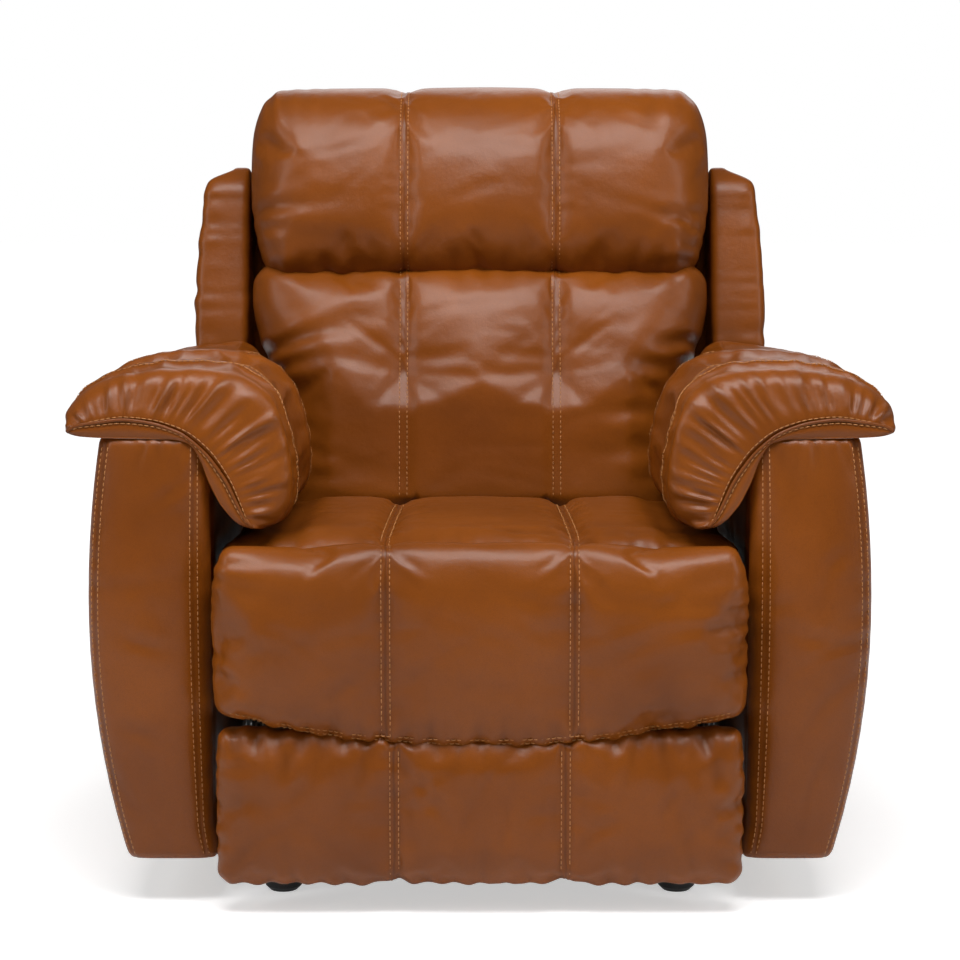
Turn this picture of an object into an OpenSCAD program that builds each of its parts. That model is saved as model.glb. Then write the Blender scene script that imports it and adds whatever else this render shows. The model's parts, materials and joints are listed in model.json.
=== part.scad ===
// Reclining armchair: a leather seat unit that glides forward and tips back between
// two fixed arms, with a folding leg rest. The front of the chair faces -Y.

/* [Overall] */
// Width over the arm pads
overall_w = 1050; // [900:5:1300]
// Depth from the front roll to the back of the shell
overall_d = 970; // [900:5:1180]
// Height to the top of the head pillow
overall_h = 1062; // [990:1:1280]
// Height of the floor gap under the arms
floor_gap = 57; // [50:1:75]

/* [Arms] */
// Width of an arm at its fullest point
arm_w = 136; // [125:1:190]
// Height of the arm under its pad
arm_h = 598; // [590:1:640]
// How far the front of the arm sits behind the front roll
arm_setback = 85; // [70:1:100]
// How far the rear of the arm stops short of the back shell
arm_rear_gap = 85; // [60:1:120]
// Thickness of the upholstered side panels
panel_t = 8; // [5:0.5:12]
// How far the arm draws in at the floor
arm_tuck = 46; // [0:1:50]
// Overhang of the pad past the arm, outside
pad_over_out = 27; // [10:1:45]
// Reach of the pad over the seat
pad_over_in = 112; // [60:1:120]
// Thickness of the arm pad
pad_t = 96; // [70:1:110]
// Thickness of the timber in the arm frame
arm_frame_t = 30; // [22:1:38]

/* [Seat] */
// Height of the seat cushion
seat_h = 474; // [460:1:478]
// Thickness of the seat cushion
seat_t = 94; // [80:1:100]
// Gap between the seat unit and each arm
seat_gap = 24; // [16:1:40]
// Depth of the front roll
roll_t = 80; // [60:1:84]
// Height of the lower edge of the front roll
roll_bottom = 253; // [252:1:258]
// Width of one seat spring
spring_w = 50; // [36:1:60]
// Number of seat springs
spring_n = 5; // [3:1:6]

/* [Back] */
// Lean of the back at rest, from upright
back_lean = 14; // [10:0.5:16]
// Gap from each arm to the lumbar cushion, between the arm pads
lumbar_low_gap = 64; // [62:1:72]
// How far the lumbar cushion stops short of the arm, above the arm pads
lumbar_gap = 37; // [32:1:62]
// How far the head pillow stops short of the arm
pillow_gap = 19; // [18:1:32]
// Width of a wing beyond the head pillow
wing_w = 82; // [40:1:95]
// Thickness of the shell panels
shell_t = 8; // [5:0.5:12]

/* [Mechanism] */
// Thickness of every steel link and plate
steel_t = 4; // [3:0.5:5]
// Side gap between neighbouring links
link_gap = 5; // [4:0.5:6]
// Width of a link
link_w = 18; // [14:1:20]
// Radius of a pivot rivet
rivet_r = 5; // [3.5:0.1:6]
// Running clearance of a rivet in its hole, on the radius
rivet_fit = 0.05; // [0.02:0.01:0.1]
// Length of a swing link between its pivots
swing_len = 180; // [170:1:190]
// Swing of the seat to each side of upright
swing_half = 14; // [10:0.5:16]
// Length of a leg link between its end pivots
leg_len = 190; // [180:1:194]

/* [Leg rest] */
// How far the leg rest stops short of each arm
leg_rest_gap = 33; // [31:1:82]
// Height of the lower edge of the leg rest
leg_rest_bottom = 40; // [36:1:60]
// Height of the upper edge of the leg rest
leg_rest_top = 226; // [210:1:228]
// Thickness of the leg rest pad
leg_pad_t = 54; // [40:1:58]

/* [Feet] */
// Radius of a glide
glide_r = 24; // [18:1:25]
// Distance of a glide's middle from the arm's inner side
glide_inset = 104; // [104:1:162]

/* [Hidden] */
$fn = 48;

// ---- fineness of the outlines
END_STEP = 15;
SECTION_STEPS = 14;
SPRING_WAVES = 9;
SPRING_STEPS = 72;

// ---- places shared by several pieces
half_w = overall_w / 2;
front_y = -overall_d / 2;
rear_y = overall_d / 2;
arm_out = half_w - pad_over_out;
arm_in = arm_out - arm_w;
arm_front_t = 12;
arm_front_y = front_y + arm_setback;
arm_side_y = arm_front_y + arm_front_t;
arm_rear_y = rear_y - arm_rear_gap;
arm_tail_h = seat_h - 26;
belly_z = 380;
arm_top_tuck = 17;
arm_in_tuck = 27;
seat_half = arm_in - seat_gap;
lumbar_low_half = arm_in - lumbar_low_gap;
lumbar_half = arm_in - lumbar_gap;
pillow_half = arm_in - pillow_gap;
leg_rest_half = arm_in - leg_rest_gap;
glide_x = arm_in - glide_inset;
arm_frame_w = 45;

// link layers, counted inwards from the base side plates
mech_x = arm_in - 40;
layer_pitch = steel_t + link_gap;
function layer(n) = mech_x - n * layer_pitch;
SIDE_PLATE = 0;
SWING = 1;
SEAT_PLATE = 2;
DRIVE = 3;
CROSS = 4;
BRACKET = 5;
head_r = rivet_r + 3;
head_t = 1.8;
head_play = 0.3;
open_play = 0.5;

// base
tube_side = 30;
tube_wall = 2;
screw_r = 3;
glide_h = 40;
runner_h = 16;
runner_w = 28;
runner_over = 26;
tube_z = glide_h + runner_h;
glide_front_y = arm_front_y + 60;
glide_rear_y = arm_rear_y - 110;
tube_front_y = arm_front_y + 135;
tube_rear_y = glide_rear_y;
swing_foot_z = tube_z + 64;
swing_front_y = arm_front_y + 185;
swing_rear_y = arm_rear_y - 225;
swing_rise = swing_len * cos(swing_half);
swing_shift = swing_len * sin(swing_half);
side_plate_top = 185;
bolt_z = floor_gap + 34;

// seat frame
seat_bottom = seat_h - seat_t;
roll_drop = 8;
spring_t = 4;
clip_t = 2;
rail_top = seat_bottom - 2 - spring_t - clip_t;
rail_bottom = rail_top - 38;
rail_w = 36;
rail_out = layer(SEAT_PLATE) + steel_t + 18;
board_t = 18;
roll_rear_y = front_y + roll_t;
front_rail_y = roll_rear_y + 1;
rail_front_y = front_rail_y + board_t;
back_y = 140;
back_z = rail_bottom + 10;
seat_rear_y = back_y - 120;
rear_rail_y = back_y - 58;

// leg rest linkage, angles from straight down towards the front
drive_rest = 10;
cross_rest = 173;
function along(a) = [-sin(a), -cos(a)];
drive_at = [front_y + 195, roll_bottom - 41];
cross_at = drive_at + leg_len / 2 * along(drive_rest);
drive_end = drive_at + leg_len * along(drive_rest);
cross_end = cross_at + leg_len / 2 * along(cross_rest);
outer_at = cross_end + leg_len / 2 * along(drive_rest);
board_at = drive_end + leg_len * along(cross_rest);
cross_tail = 55;
tube_r = 9;
tube_bore_r = 7.5;
tube_at = drive_at + 12 * along(drive_rest) - 24 * [-cos(drive_rest), sin(drive_rest)];
leg_front_y = front_y + 7;
leg_board_t = 12;
leg_pad_r = 20;
bracket_foot = 30;
leg_board_y = leg_front_y + leg_pad_t;
leg_back_y = leg_board_y + leg_board_t;
flange_w = 26;
leg_bolt_r = 3;

// back, in its own leaning frame: u is depth and w is height from the back pivot
post_u = 35;
post_d = 45;
post_t = 30;
post_x = layer(DRIVE);
back_bolt_ws = [30, 90, 150];
pad_u = 31;
lumbar_u = -118;
lumbar_w0 = 30;
lumbar_step_w = 390;
pillow_w0 = 452;
seam_gap = 4;
pillow_r = 85;
pillow_u = pad_u - pillow_r;
pillow_top_w = (overall_h - back_z - pillow_r + pillow_u * sin(back_lean)) / cos(back_lean);
shell_top_w = pillow_top_w + 108;
post_top_w = pillow_top_w + 70;
shell_u = (rear_y - back_y - shell_top_w * sin(back_lean)) / cos(back_lean) - shell_t;
shell_clear = 3;
shell_side_x = rail_out + shell_clear;
shell_foot_x = layer(SEAT_PLATE) - 4;
shell_foot_w = -60;
shell_corner = 40;
shell_step_w = 60;
wing_w0 = 335;
wing_w1 = pillow_top_w - 22;
wing_clear = 3;
wing_in = pillow_half + wing_clear;
wing_out = wing_in + wing_w;
wing_front_u = -40;
wing_root_u = 62;

// arm pad
pad_rear_clear = 7;
pad_front_y = arm_front_y - 18;
pad_rear_y = back_y + 40;
pad_step_y = seat_rear_y;
pad_in = arm_in - pad_over_in;
pad_rear_in = lumbar_low_half + pad_rear_clear;
pad_drop = seat_h + 16;
pad_clear = 1;

// release handle, in the outer side of the sitter's right arm
cup_y = arm_front_y + 185;
cup_z = belly_z;
cup_len = 120;
cup_high = 70;
cup_wall = 8;
cup_deep = 30;
cup_lip = 4;
cup_lip_t = 1.5;
lever_len = 72;
lever_t = 5;
lever_play = 2;
pin_r = 2;
lever_pin_y = cup_y + cup_len / 2 - cup_wall - 10;
lever_pin_x = arm_out - 8;
cable_r = 3;
cable_bend = 20;
cable_x = arm_out - 68;
cable_z = 150;
catch_at = [cup_y + 25, 120];
catch_x = mech_x + steel_t + 2;

// ---- colours
module leather() { color([0.55, 0.31, 0.14]) children(); }
module steel() { color([0.16, 0.16, 0.17]) children(); }
module zinc() { color([0.72, 0.73, 0.75]) children(); }
module timber() { color([0.80, 0.66, 0.46]) children(); }
module plastic() { color([0.05, 0.05, 0.05]) children(); }
module webbing() { color([0.12, 0.12, 0.13]) children(); }

// ---- helpers
// side 1 is the sitter's left (+X), side -1 the sitter's right
module on_side(side) { mirror([side < 0 ? 1 : 0, 0, 0]) children(); }
module both_sides() { for (side = [-1, 1]) on_side(side) children(); }
// a YZ outline made solid between two X values
module slab(x0, x1) { translate([x0, 0, 0]) rotate([90, 0, 90]) linear_extrude(x1 - x0) children(); }
// an XZ outline made solid between two Y values
module sheet(y0, y1) { translate([0, y1, 0]) rotate([90, 0, 0]) linear_extrude(y1 - y0) children(); }
module block(a, b) { translate(a) cube(b - a); }
module rod(at, x0, x1, r) { translate([x0, at[0], at[1]]) rotate([0, 90, 0]) cylinder(h = x1 - x0, r = r); }
module on_back() { translate([0, back_y, back_z]) rotate([-back_lean, 0, 0]) children(); }

// a flat bar with round ends between two points, drawn in YZ
module bar(a, b, w) {
    heading = atan2(b[1] - a[1], b[0] - a[0]);
    polygon(concat(
        [for (t = [-90:END_STEP:90]) b + w / 2 * [cos(heading + t), sin(heading + t)]],
        [for (t = [90:END_STEP:270]) a + w / 2 * [cos(heading + t), sin(heading + t)]]));
}
module eye(at, r) { translate(at) circle(r = r); }

// a rivet fixed in the piece at held and turning in the piece at loose
module rivet(at, held, loose) {
    low = min(layer(held), layer(loose));
    high = max(layer(held), layer(loose)) + steel_t;
    low_play = layer(held) < layer(loose) ? 0 : head_play;
    high_play = layer(held) < layer(loose) ? head_play : 0;
    rod(at, low - low_play - head_t, high + high_play + head_t, rivet_r);
    rod(at, low - low_play - head_t, low - low_play, head_r);
    rod(at, high + high_play, high + high_play + head_t, head_r);
}

// a rounded rectangle about the origin
function corner(c, w, h, r) = [[w / 2 - r, h / 2 - r], [r - w / 2, h / 2 - r],
    [r - w / 2, r - h / 2], [w / 2 - r, r - h / 2]][c];
function rounded(w, h, r) = [for (c = [0:3]) for (a = [0:22.5:90])
    corner(c, w, h, r) + r * [cos(a + 90 * c), sin(a + 90 * c)]];

// ---- arms
function section_z(k) = floor_gap + (arm_h - floor_gap) * k / SECTION_STEPS;
function below(z) = pow(max(0, belly_z - z) / (belly_z - floor_gap), 2);
function above(z) = pow(max(0, z - belly_z) / (arm_h - belly_z), 2);
function arm_outer(z) = arm_out - arm_tuck * below(z) - arm_top_tuck * above(z);
function arm_inner(z) = arm_in - arm_in_tuck * below(z);

// the arm's cross-section between an inner and an outer line
module arm_band(in_line, in_add, out_line, out_add) {
    polygon(concat(
        [for (k = [0:SECTION_STEPS]) [out_line == 1 ? arm_outer(section_z(k)) + out_add
            : arm_inner(section_z(k)) + out_add, section_z(k)]],
        [for (k = [SECTION_STEPS:-1:0]) [in_line == 1 ? arm_outer(section_z(k)) + in_add
            : arm_inner(section_z(k)) + in_add, section_z(k)]]));
}

// the arm's outline from the side: level under the pad, then falling to the rear
function arm_outline(front, inset, open) = [
    [front, floor_gap + inset - open], [front, arm_h - inset + open],
    [pad_rear_y - inset * 0.4, arm_h - inset + open],
    [pad_rear_y - inset * 0.4, arm_h - inset],
    [arm_rear_y - inset, arm_tail_h - inset], [arm_rear_y - inset, floor_gap + inset - open]];

module arm_frame(side) {
    timber() on_side(side) difference() {
        slab(arm_in + panel_t, arm_in + panel_t + arm_frame_t)
            polygon(arm_outline(arm_side_y, panel_t, 0));
        slab(arm_in, arm_out)
            polygon(arm_outline(arm_side_y + arm_frame_w, panel_t + arm_frame_w, 0));
        for (y = arm_bolt_ys()) rod([y, bolt_z], arm_in, arm_out, rivet_r);
    }
}
function arm_bolt_ys() = [arm_front_y + 100, 0, arm_rear_y - 150];

module arm_outer_side(side) {
    leather() on_side(side) difference() {
        intersection() {
            sheet(arm_side_y, arm_rear_y) arm_band(0, panel_t, 1, 0);
            slab(0, half_w) polygon(arm_outline(arm_side_y, 0, 0));
        }
        intersection() {
            sheet(arm_side_y - 1, arm_rear_y) arm_band(0, panel_t - 1, 1, -panel_t);
            slab(0, half_w) polygon(arm_outline(arm_side_y - 1, panel_t, panel_t + 1));
        }
        if (side < 0) translate([arm_out - 40, cup_y, cup_z]) rotate([90, 0, 90])
            linear_extrude(60) polygon(rounded(cup_len + 1, cup_high + 1, 12.5));
    }
}

module arm_inner_side(side) {
    leather() on_side(side) difference() {
        intersection() {
            sheet(arm_side_y, arm_rear_y) arm_band(0, 0, 0, panel_t);
            slab(0, half_w) polygon(arm_outline(arm_side_y, 0, 0));
        }
        for (y = arm_bolt_ys()) rod([y, bolt_z], 0, half_w, rivet_r + 4);
        if (side < 0) rod([cup_y, cable_z], 0, half_w, cable_r + 1);
    }
}

module arm_front(side) {
    leather() on_side(side) sheet(arm_front_y, arm_side_y) arm_band(0, 0, 1, 0);
}

module arm_pad(side) {
    crown = arm_h + pad_t;
    leather() on_side(side) {
        sheet(pad_front_y, pad_step_y) polygon([
            [half_w, arm_h + pad_clear], [half_w, crown - 46], [half_w - 14, crown - 18],
            [arm_out - 24, crown - 3], [arm_in + 20, crown], [pad_in + 42, crown - 14],
            [pad_in + 10, crown - 44], [pad_in, crown - 80], [pad_in, pad_drop + 40],
            [pad_in + 14, pad_drop + 8], [pad_in + 36, pad_drop], [arm_in - pad_clear, pad_drop],
            [arm_in - pad_clear, arm_h + pad_clear]]);
        sheet(pad_step_y, pad_rear_y) polygon([
            [half_w, arm_h + pad_clear], [half_w, crown - 46], [half_w - 14, crown - 18],
            [arm_out - 24, crown - 3], [arm_in + 20, crown], [pad_rear_in + 20, crown - 12],
            [pad_rear_in, crown - 40], [pad_rear_in, arm_h + pad_clear]]);
    }
}

// ---- base
module base_cross_tube(y) {
    steel() difference() {
        block([-mech_x, y - tube_side / 2, tube_z], [mech_x, y + tube_side / 2, tube_z + tube_side]);
        block([-mech_x - 1, y - tube_side / 2 + tube_wall, tube_z + tube_wall],
            [mech_x + 1, y + tube_side / 2 - tube_wall, tube_z + tube_side - tube_wall]);
    }
}

module base_runners() {
    steel() both_sides() difference() {
        block([glide_x - runner_w / 2, glide_front_y - runner_over, glide_h],
            [glide_x + runner_w / 2, glide_rear_y + runner_over, tube_z]);
        for (y = [glide_front_y, glide_rear_y]) translate([glide_x, y, glide_h - 1])
            cylinder(h = runner_h, r = screw_r);
    }
}

module glides() {
    plastic() for (side = [-1, 1], y = [glide_front_y, glide_rear_y])
        translate([side * glide_x, y, 0]) difference() {
            rotate_extrude() polygon([[0, 0], [glide_r - 6, 0], [glide_r, 6],
                [glide_r, 26], [glide_r - 10, glide_h], [0, glide_h]]);
            translate([0, 0, glide_h - 20]) cylinder(h = 21, r = screw_r);
        }
}

module glide_screws() {
    zinc() for (side = [-1, 1], y = [glide_front_y, glide_rear_y])
        translate([side * glide_x, y, 0]) {
            translate([0, 0, glide_h - 20]) cylinder(h = 19 + runner_h, r = screw_r);
        }
}

module base_side_plate(side) {
    low = tube_z;
    y0 = glide_front_y - tube_side / 2;
    y1 = tube_rear_y + tube_side / 2;
    steel() on_side(side) difference() {
        slab(layer(SIDE_PLATE), layer(SIDE_PLATE) + steel_t) polygon([
            [y0, low], [y0, low + 55], [swing_front_y - 45, side_plate_top - 40],
            [swing_front_y - 20, side_plate_top], [swing_rear_y + 20, side_plate_top],
            [swing_rear_y + 50, side_plate_top - 40], [y1, low + 55], [y1, low]]);
        for (y = [swing_front_y, swing_rear_y]) rod([y, swing_foot_z], 0, half_w, rivet_r);
        for (y = arm_bolt_ys()) rod([y, bolt_z], 0, half_w, rivet_r);
        if (side < 0) rod(catch_at, 0, half_w, pin_r + 1);
    }
}

module base_rivets() {
    zinc() {
        both_sides() for (y = [swing_front_y, swing_rear_y])
            rivet([y, swing_foot_z], SIDE_PLATE, SWING);
        on_side(-1) {
            rod(catch_at, mech_x - 1.5, catch_x + steel_t + 2, pin_r + 1);
            rod(catch_at, mech_x - 1.5, mech_x, pin_r + 3);
            rod(catch_at, catch_x + steel_t + head_play, catch_x + steel_t + 2, pin_r + 3);
        }
    }
}

module arm_bolts() {
    zinc() both_sides() for (y = arm_bolt_ys()) {
        rod([y, bolt_z], mech_x - 4, arm_in + panel_t + arm_frame_t, rivet_r);
        rod([y, bolt_z], mech_x - 4, mech_x, rivet_r + 3);
        rod([y, bolt_z], mech_x + steel_t, arm_in + panel_t, rivet_r + 3.5);
    }
}

module rear_apron() {
    half = arm_inner(floor_gap) - 2;
    leather() block([-half, arm_rear_y - panel_t, floor_gap], [half, arm_rear_y, floor_gap + 183]);
}

// ---- release handle
module release_cup() {
    plastic() on_side(-1) difference() {
        union() {
            translate([arm_out - cup_deep, cup_y, cup_z]) rotate([90, 0, 90])
                linear_extrude(cup_deep) polygon(rounded(cup_len, cup_high, 12));
            translate([arm_out, cup_y, cup_z]) rotate([90, 0, 90]) linear_extrude(cup_lip_t)
                polygon(rounded(cup_len + 2 * cup_lip, cup_high + 2 * cup_lip, 16));
        }
        translate([arm_out - cup_deep + 4, cup_y, cup_z]) rotate([90, 0, 90])
            linear_extrude(cup_deep) polygon(rounded(cup_len - 2 * cup_wall, cup_high - 2 * cup_wall, 6));
        translate([lever_pin_x, lever_pin_y, cup_z - cup_high / 2 + 2])
            cylinder(h = cup_high - 4, r = pin_r);
        rod([cup_y, cup_z], 0, arm_out - cup_deep + 2, cable_r);
    }
}

module release_pin() {
    zinc() on_side(-1) translate([lever_pin_x, lever_pin_y, cup_z - cup_high / 2 + 2])
        cylinder(h = cup_high - 4, r = pin_r);
}

module release_lever() {
    high = cup_high - 2 * cup_wall - 2 * lever_play;
    plastic() on_side(-1) difference() {
        union() {
            translate([lever_pin_x, lever_pin_y, cup_z - high / 2]) cylinder(h = high, r = pin_r + 3);
            block([lever_pin_x - lever_t / 2, lever_pin_y - lever_len, cup_z - high / 2],
                [lever_pin_x + lever_t / 2, lever_pin_y, cup_z + high / 2]);
        }
        translate([lever_pin_x, lever_pin_y, cup_z - high]) cylinder(h = 2 * high, r = pin_r + rivet_fit);
    }
}

// the inner cable's housing: out of the cup, down inside the arm and in to the base
module release_cable() {
    down = cup_z - cable_z - 2 * cable_bend;
    plastic() on_side(-1) {
        rod([cup_y, cup_z], cable_x + cable_bend, arm_out - cup_deep + 2, cable_r);
        translate([cable_x + cable_bend, cup_y, cup_z - cable_bend]) rotate([90, 0, 0])
            rotate([0, 0, 90]) rotate_extrude(angle = 90) translate([cable_bend, 0]) circle(r = cable_r);
        translate([cable_x, cup_y, cable_z + cable_bend]) cylinder(h = down, r = cable_r);
        translate([cable_x - cable_bend, cup_y, cable_z + cable_bend]) rotate([90, 0, 0])
            rotate([0, 0, 270]) rotate_extrude(angle = 90) translate([cable_bend, 0]) circle(r = cable_r);
        rod([cup_y, cable_z], catch_x + steel_t + 3, cable_x - cable_bend, cable_r);
    }
}

module release_catch() {
    steel() on_side(-1) slab(catch_x, catch_x + steel_t) difference() {
        bar(catch_at, [cup_y, cable_z], 16);
        eye(catch_at, pin_r + 1 + rivet_fit);
    }
}

// ---- swing links
module swing_links(y) {
    foot = [y, swing_foot_z];
    head = foot + [swing_shift, swing_rise];
    steel() both_sides() slab(layer(SWING), layer(SWING) + steel_t) difference() {
        bar(foot, head, link_w + 8);
        for (p = [foot, head]) eye(p, rivet_r + rivet_fit);
    }
}

// ---- seat
function swing_head(y) = [y + swing_shift, swing_foot_z + swing_rise];

module seat_plate(side) {
    x0 = layer(SEAT_PLATE);
    front = drive_at[0];
    steel() on_side(side) {
        difference() {
            slab(x0, x0 + steel_t) polygon([
                [front - 50, rail_bottom], [front - 50, rail_bottom - 50],
                [front - 20, drive_at[1] + 30], [front - 16, drive_at[1] - 16],
                [front + 16, drive_at[1] - 16], [front + 28, drive_at[1] + 40],
                [swing_head(swing_front_y)[0] - 20, swing_head(swing_front_y)[1] - 20],
                [swing_head(swing_rear_y)[0] + 26, swing_head(swing_rear_y)[1] - 20],
                [swing_head(swing_rear_y)[0] + 26, swing_head(swing_rear_y)[1] + 14],
                [back_y + 24, back_z - 4], [back_y + 14, back_z + 16],
                [back_y - 14, back_z + 16], [back_y - 26, rail_bottom]]);
            for (y = [swing_front_y, swing_rear_y]) rod(swing_head(y), 0, half_w, rivet_r);
            rod(drive_at, 0, half_w, rivet_r);
            rod([back_y, back_z], 0, half_w, rivet_r);
        }
        difference() {
            block([x0 - 20, front - 50, rail_bottom - steel_t], [x0, rear_rail_y, rail_bottom]);
            for (y = seat_bolt_ys()) translate([x0 - 8, y, rail_bottom - 10]) cylinder(h = 20, r = 3);
        }
    }
}
function seat_bolt_ys() = [drive_at[0] - 30, -130, rear_rail_y - 30];

module seat_bolts() {
    x = layer(SEAT_PLATE) - 8;
    zinc() both_sides() for (y = seat_bolt_ys()) translate([x, y, 0]) {
        translate([0, 0, rail_bottom - steel_t]) cylinder(h = steel_t + 24, r = 3);
        translate([0, 0, rail_bottom - steel_t - 3]) cylinder(h = 3, r = 6);
    }
}

module seat_rivets() {
    zinc() both_sides() {
        for (y = [swing_front_y, swing_rear_y]) rivet(swing_head(y), SEAT_PLATE, SWING);
        rivet(drive_at, SEAT_PLATE, DRIVE);
        rivet([back_y, back_z], SEAT_PLATE, DRIVE);
    }
}

module seat_side_rails() {
    timber() both_sides() difference() {
        block([rail_out - rail_w, rail_front_y, rail_bottom], [rail_out, rear_rail_y + board_t, rail_top]);
        for (y = seat_bolt_ys()) translate([layer(SEAT_PLATE) - 8, y, rail_bottom - 1])
            cylinder(h = 25, r = 3);
    }
}
module seat_front_rail() {
    timber() block([-rail_out, front_rail_y, roll_bottom + 2], [rail_out, rail_front_y, rail_top]);
}
module seat_rear_rail() {
    half = rail_out - rail_w;
    timber() block([-half, rear_rail_y, rail_bottom], [half, rear_rail_y + board_t, rail_top]);
}

// sinuous springs: one flat wave of wire for each, from the front rail to the rear rail
spring_y0 = front_rail_y + 4;
spring_y1 = rear_rail_y + board_t - 4;
spring_pitch = 2 * (rail_out - rail_w) / spring_n;
function spring_x(i) = (i - (spring_n - 1) / 2) * spring_pitch;
function wave(t) = spring_w / 2 * sin(360 * SPRING_WAVES * t);
function slope(t) = spring_w / 2 * cos(360 * SPRING_WAVES * t)
    * 2 * PI * SPRING_WAVES / (spring_y1 - spring_y0);
function spring_point(t, side) = [
    wave(t) + side * spring_t / 2 / sqrt(1 + pow(slope(t), 2)),
    spring_y0 + t * (spring_y1 - spring_y0)
        - side * spring_t / 2 * slope(t) / sqrt(1 + pow(slope(t), 2))];
module seat_springs() {
    steel() for (i = [0:spring_n - 1]) translate([spring_x(i), 0, rail_top + clip_t])
        linear_extrude(spring_t) polygon(concat(
            [for (k = [0:SPRING_STEPS]) spring_point(k / SPRING_STEPS, 1)],
            [for (k = [SPRING_STEPS:-1:0]) spring_point(k / SPRING_STEPS, -1)]));
}
module spring_clips() {
    zinc() for (i = [0:spring_n - 1], y = [front_rail_y + 9, rear_rail_y + 9])
        translate([spring_x(i), y, rail_top + clip_t / 2]) cube([22, 14, clip_t], center = true);
}

module seat_cushion() {
    leather() block([-seat_half, roll_rear_y + 2, seat_bottom], [seat_half, seat_rear_y, seat_h]);
}

// a block across the chair with its two front edges rounded
module round_front(half, y0, y1, z0, z1, r) {
    difference() {
        block([-half, y0, z0], [half, y1, z1]);
        for (edge = [[z0, 1], [z1, -1]]) {
            middle = edge[0] + edge[1] * r;
            past = edge[0] - edge[1];
            difference() {
                block([-half - 1, y0 - 1, min(middle, past)], [half + 1, y0 + r, max(middle, past)]);
                rod([y0 + r, middle], -half - 2, half + 2, r);
            }
        }
    }
}
module front_roll() {
    leather() round_front(seat_half - 2, front_y, roll_rear_y, roll_bottom, seat_h - roll_drop,
        roll_t / 2 - 2);
}

// ---- leg rest linkage
module leg_links_drive() {
    steel() both_sides() slab(layer(DRIVE), layer(DRIVE) + steel_t) difference() {
        union() {
            bar(drive_at, drive_end, link_w);
            bar(drive_at, tube_at, 2 * tube_r);
        }
        eye(drive_at, rivet_r + rivet_fit);
        for (p = [cross_at, drive_end]) eye(p, rivet_r);
    }
}
module leg_rivets_drive() {
    zinc() both_sides() for (p = [cross_at, drive_end]) rivet(p, DRIVE, CROSS);
}
module leg_torque_tube() {
    steel() difference() {
        rod(tube_at, -layer(DRIVE), layer(DRIVE), tube_r);
        rod(tube_at, -layer(DRIVE) - 1, layer(DRIVE) + 1, tube_bore_r);
    }
}
module leg_links_cross() {
    steel() both_sides() slab(layer(CROSS), layer(CROSS) + steel_t) difference() {
        bar(cross_at - cross_tail * along(cross_rest), cross_end, link_w);
        eye(cross_at, rivet_r + rivet_fit);
        eye(cross_end, rivet_r);
    }
}
module leg_rivets_cross() {
    zinc() both_sides() rivet(cross_end, CROSS, DRIVE);
}
module leg_links_outer() {
    steel() both_sides() slab(layer(DRIVE), layer(DRIVE) + steel_t) difference() {
        bar(cross_end, outer_at + 20 * along(drive_rest), link_w);
        eye(cross_end, rivet_r + rivet_fit);
        eye(outer_at, rivet_r);
    }
}
module leg_rivets_outer() {
    zinc() both_sides() rivet(outer_at, DRIVE, CROSS);
}
module leg_links_outer_cross() {
    steel() both_sides() slab(layer(CROSS), layer(CROSS) + steel_t) difference() {
        bar(drive_end, board_at, link_w);
        eye(drive_end, rivet_r + rivet_fit);
        eye(outer_at, rivet_r + open_play);
        eye(board_at, rivet_r);
    }
}
module leg_rivets_outer_cross() {
    zinc() both_sides() rivet(board_at, CROSS, BRACKET);
}

// ---- leg rest
function leg_bolt_zs() = [leg_rest_bottom + 45, (leg_rest_bottom + leg_rest_top) / 2, leg_rest_top - 45];
leg_bolt_x = layer(BRACKET) - flange_w / 2;
module leg_rest_brackets() {
    x0 = layer(BRACKET);
    steel() both_sides() {
        difference() {
            slab(x0, x0 + steel_t) union() {
                bar(board_at, [leg_back_y + link_w / 2, board_at[1]], link_w);
                polygon([[leg_back_y, board_at[1] + link_w / 2],
                    [leg_back_y, leg_rest_bottom + bracket_foot],
                    [leg_back_y + 14, leg_rest_bottom + bracket_foot],
                    [board_at[0], board_at[1] - link_w / 2], [board_at[0], board_at[1]],
                    [leg_back_y + link_w / 2, board_at[1] + link_w / 2]]);
            }
            rod(board_at, 0, half_w, rivet_r + rivet_fit);
        }
        difference() {
            block([x0 - flange_w, leg_back_y, leg_rest_bottom + bracket_foot],
                [x0, leg_back_y + steel_t, board_at[1] + link_w / 2]);
            for (z = leg_bolt_zs()) leg_bolt_hole(z);
        }
    }
}
module leg_bolt_hole(z) {
    translate([leg_bolt_x, leg_back_y + 20, z]) rotate([90, 0, 0])
        cylinder(h = 20 + leg_board_t - 2, r = leg_bolt_r);
}
module leg_rest_bolts() {
    zinc() both_sides() for (z = leg_bolt_zs()) {
        translate([leg_bolt_x, leg_back_y + steel_t, z]) rotate([90, 0, 0])
            cylinder(h = steel_t + leg_board_t - 2, r = leg_bolt_r);
        translate([leg_bolt_x, leg_back_y + steel_t + 3, z]) rotate([90, 0, 0])
            cylinder(h = 3, r = 2 * leg_bolt_r);
    }
}
module leg_rest_board() {
    half = leg_rest_half - 20;
    timber() difference() {
        block([-half, leg_board_y, leg_rest_bottom + 10], [half, leg_back_y, leg_rest_top - 8]);
        both_sides() for (z = leg_bolt_zs()) leg_bolt_hole(z);
    }
}
module leg_rest_pad() {
    leather() round_front(leg_rest_half, leg_front_y, leg_board_y, leg_rest_bottom, leg_rest_top, leg_pad_r);
}

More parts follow.
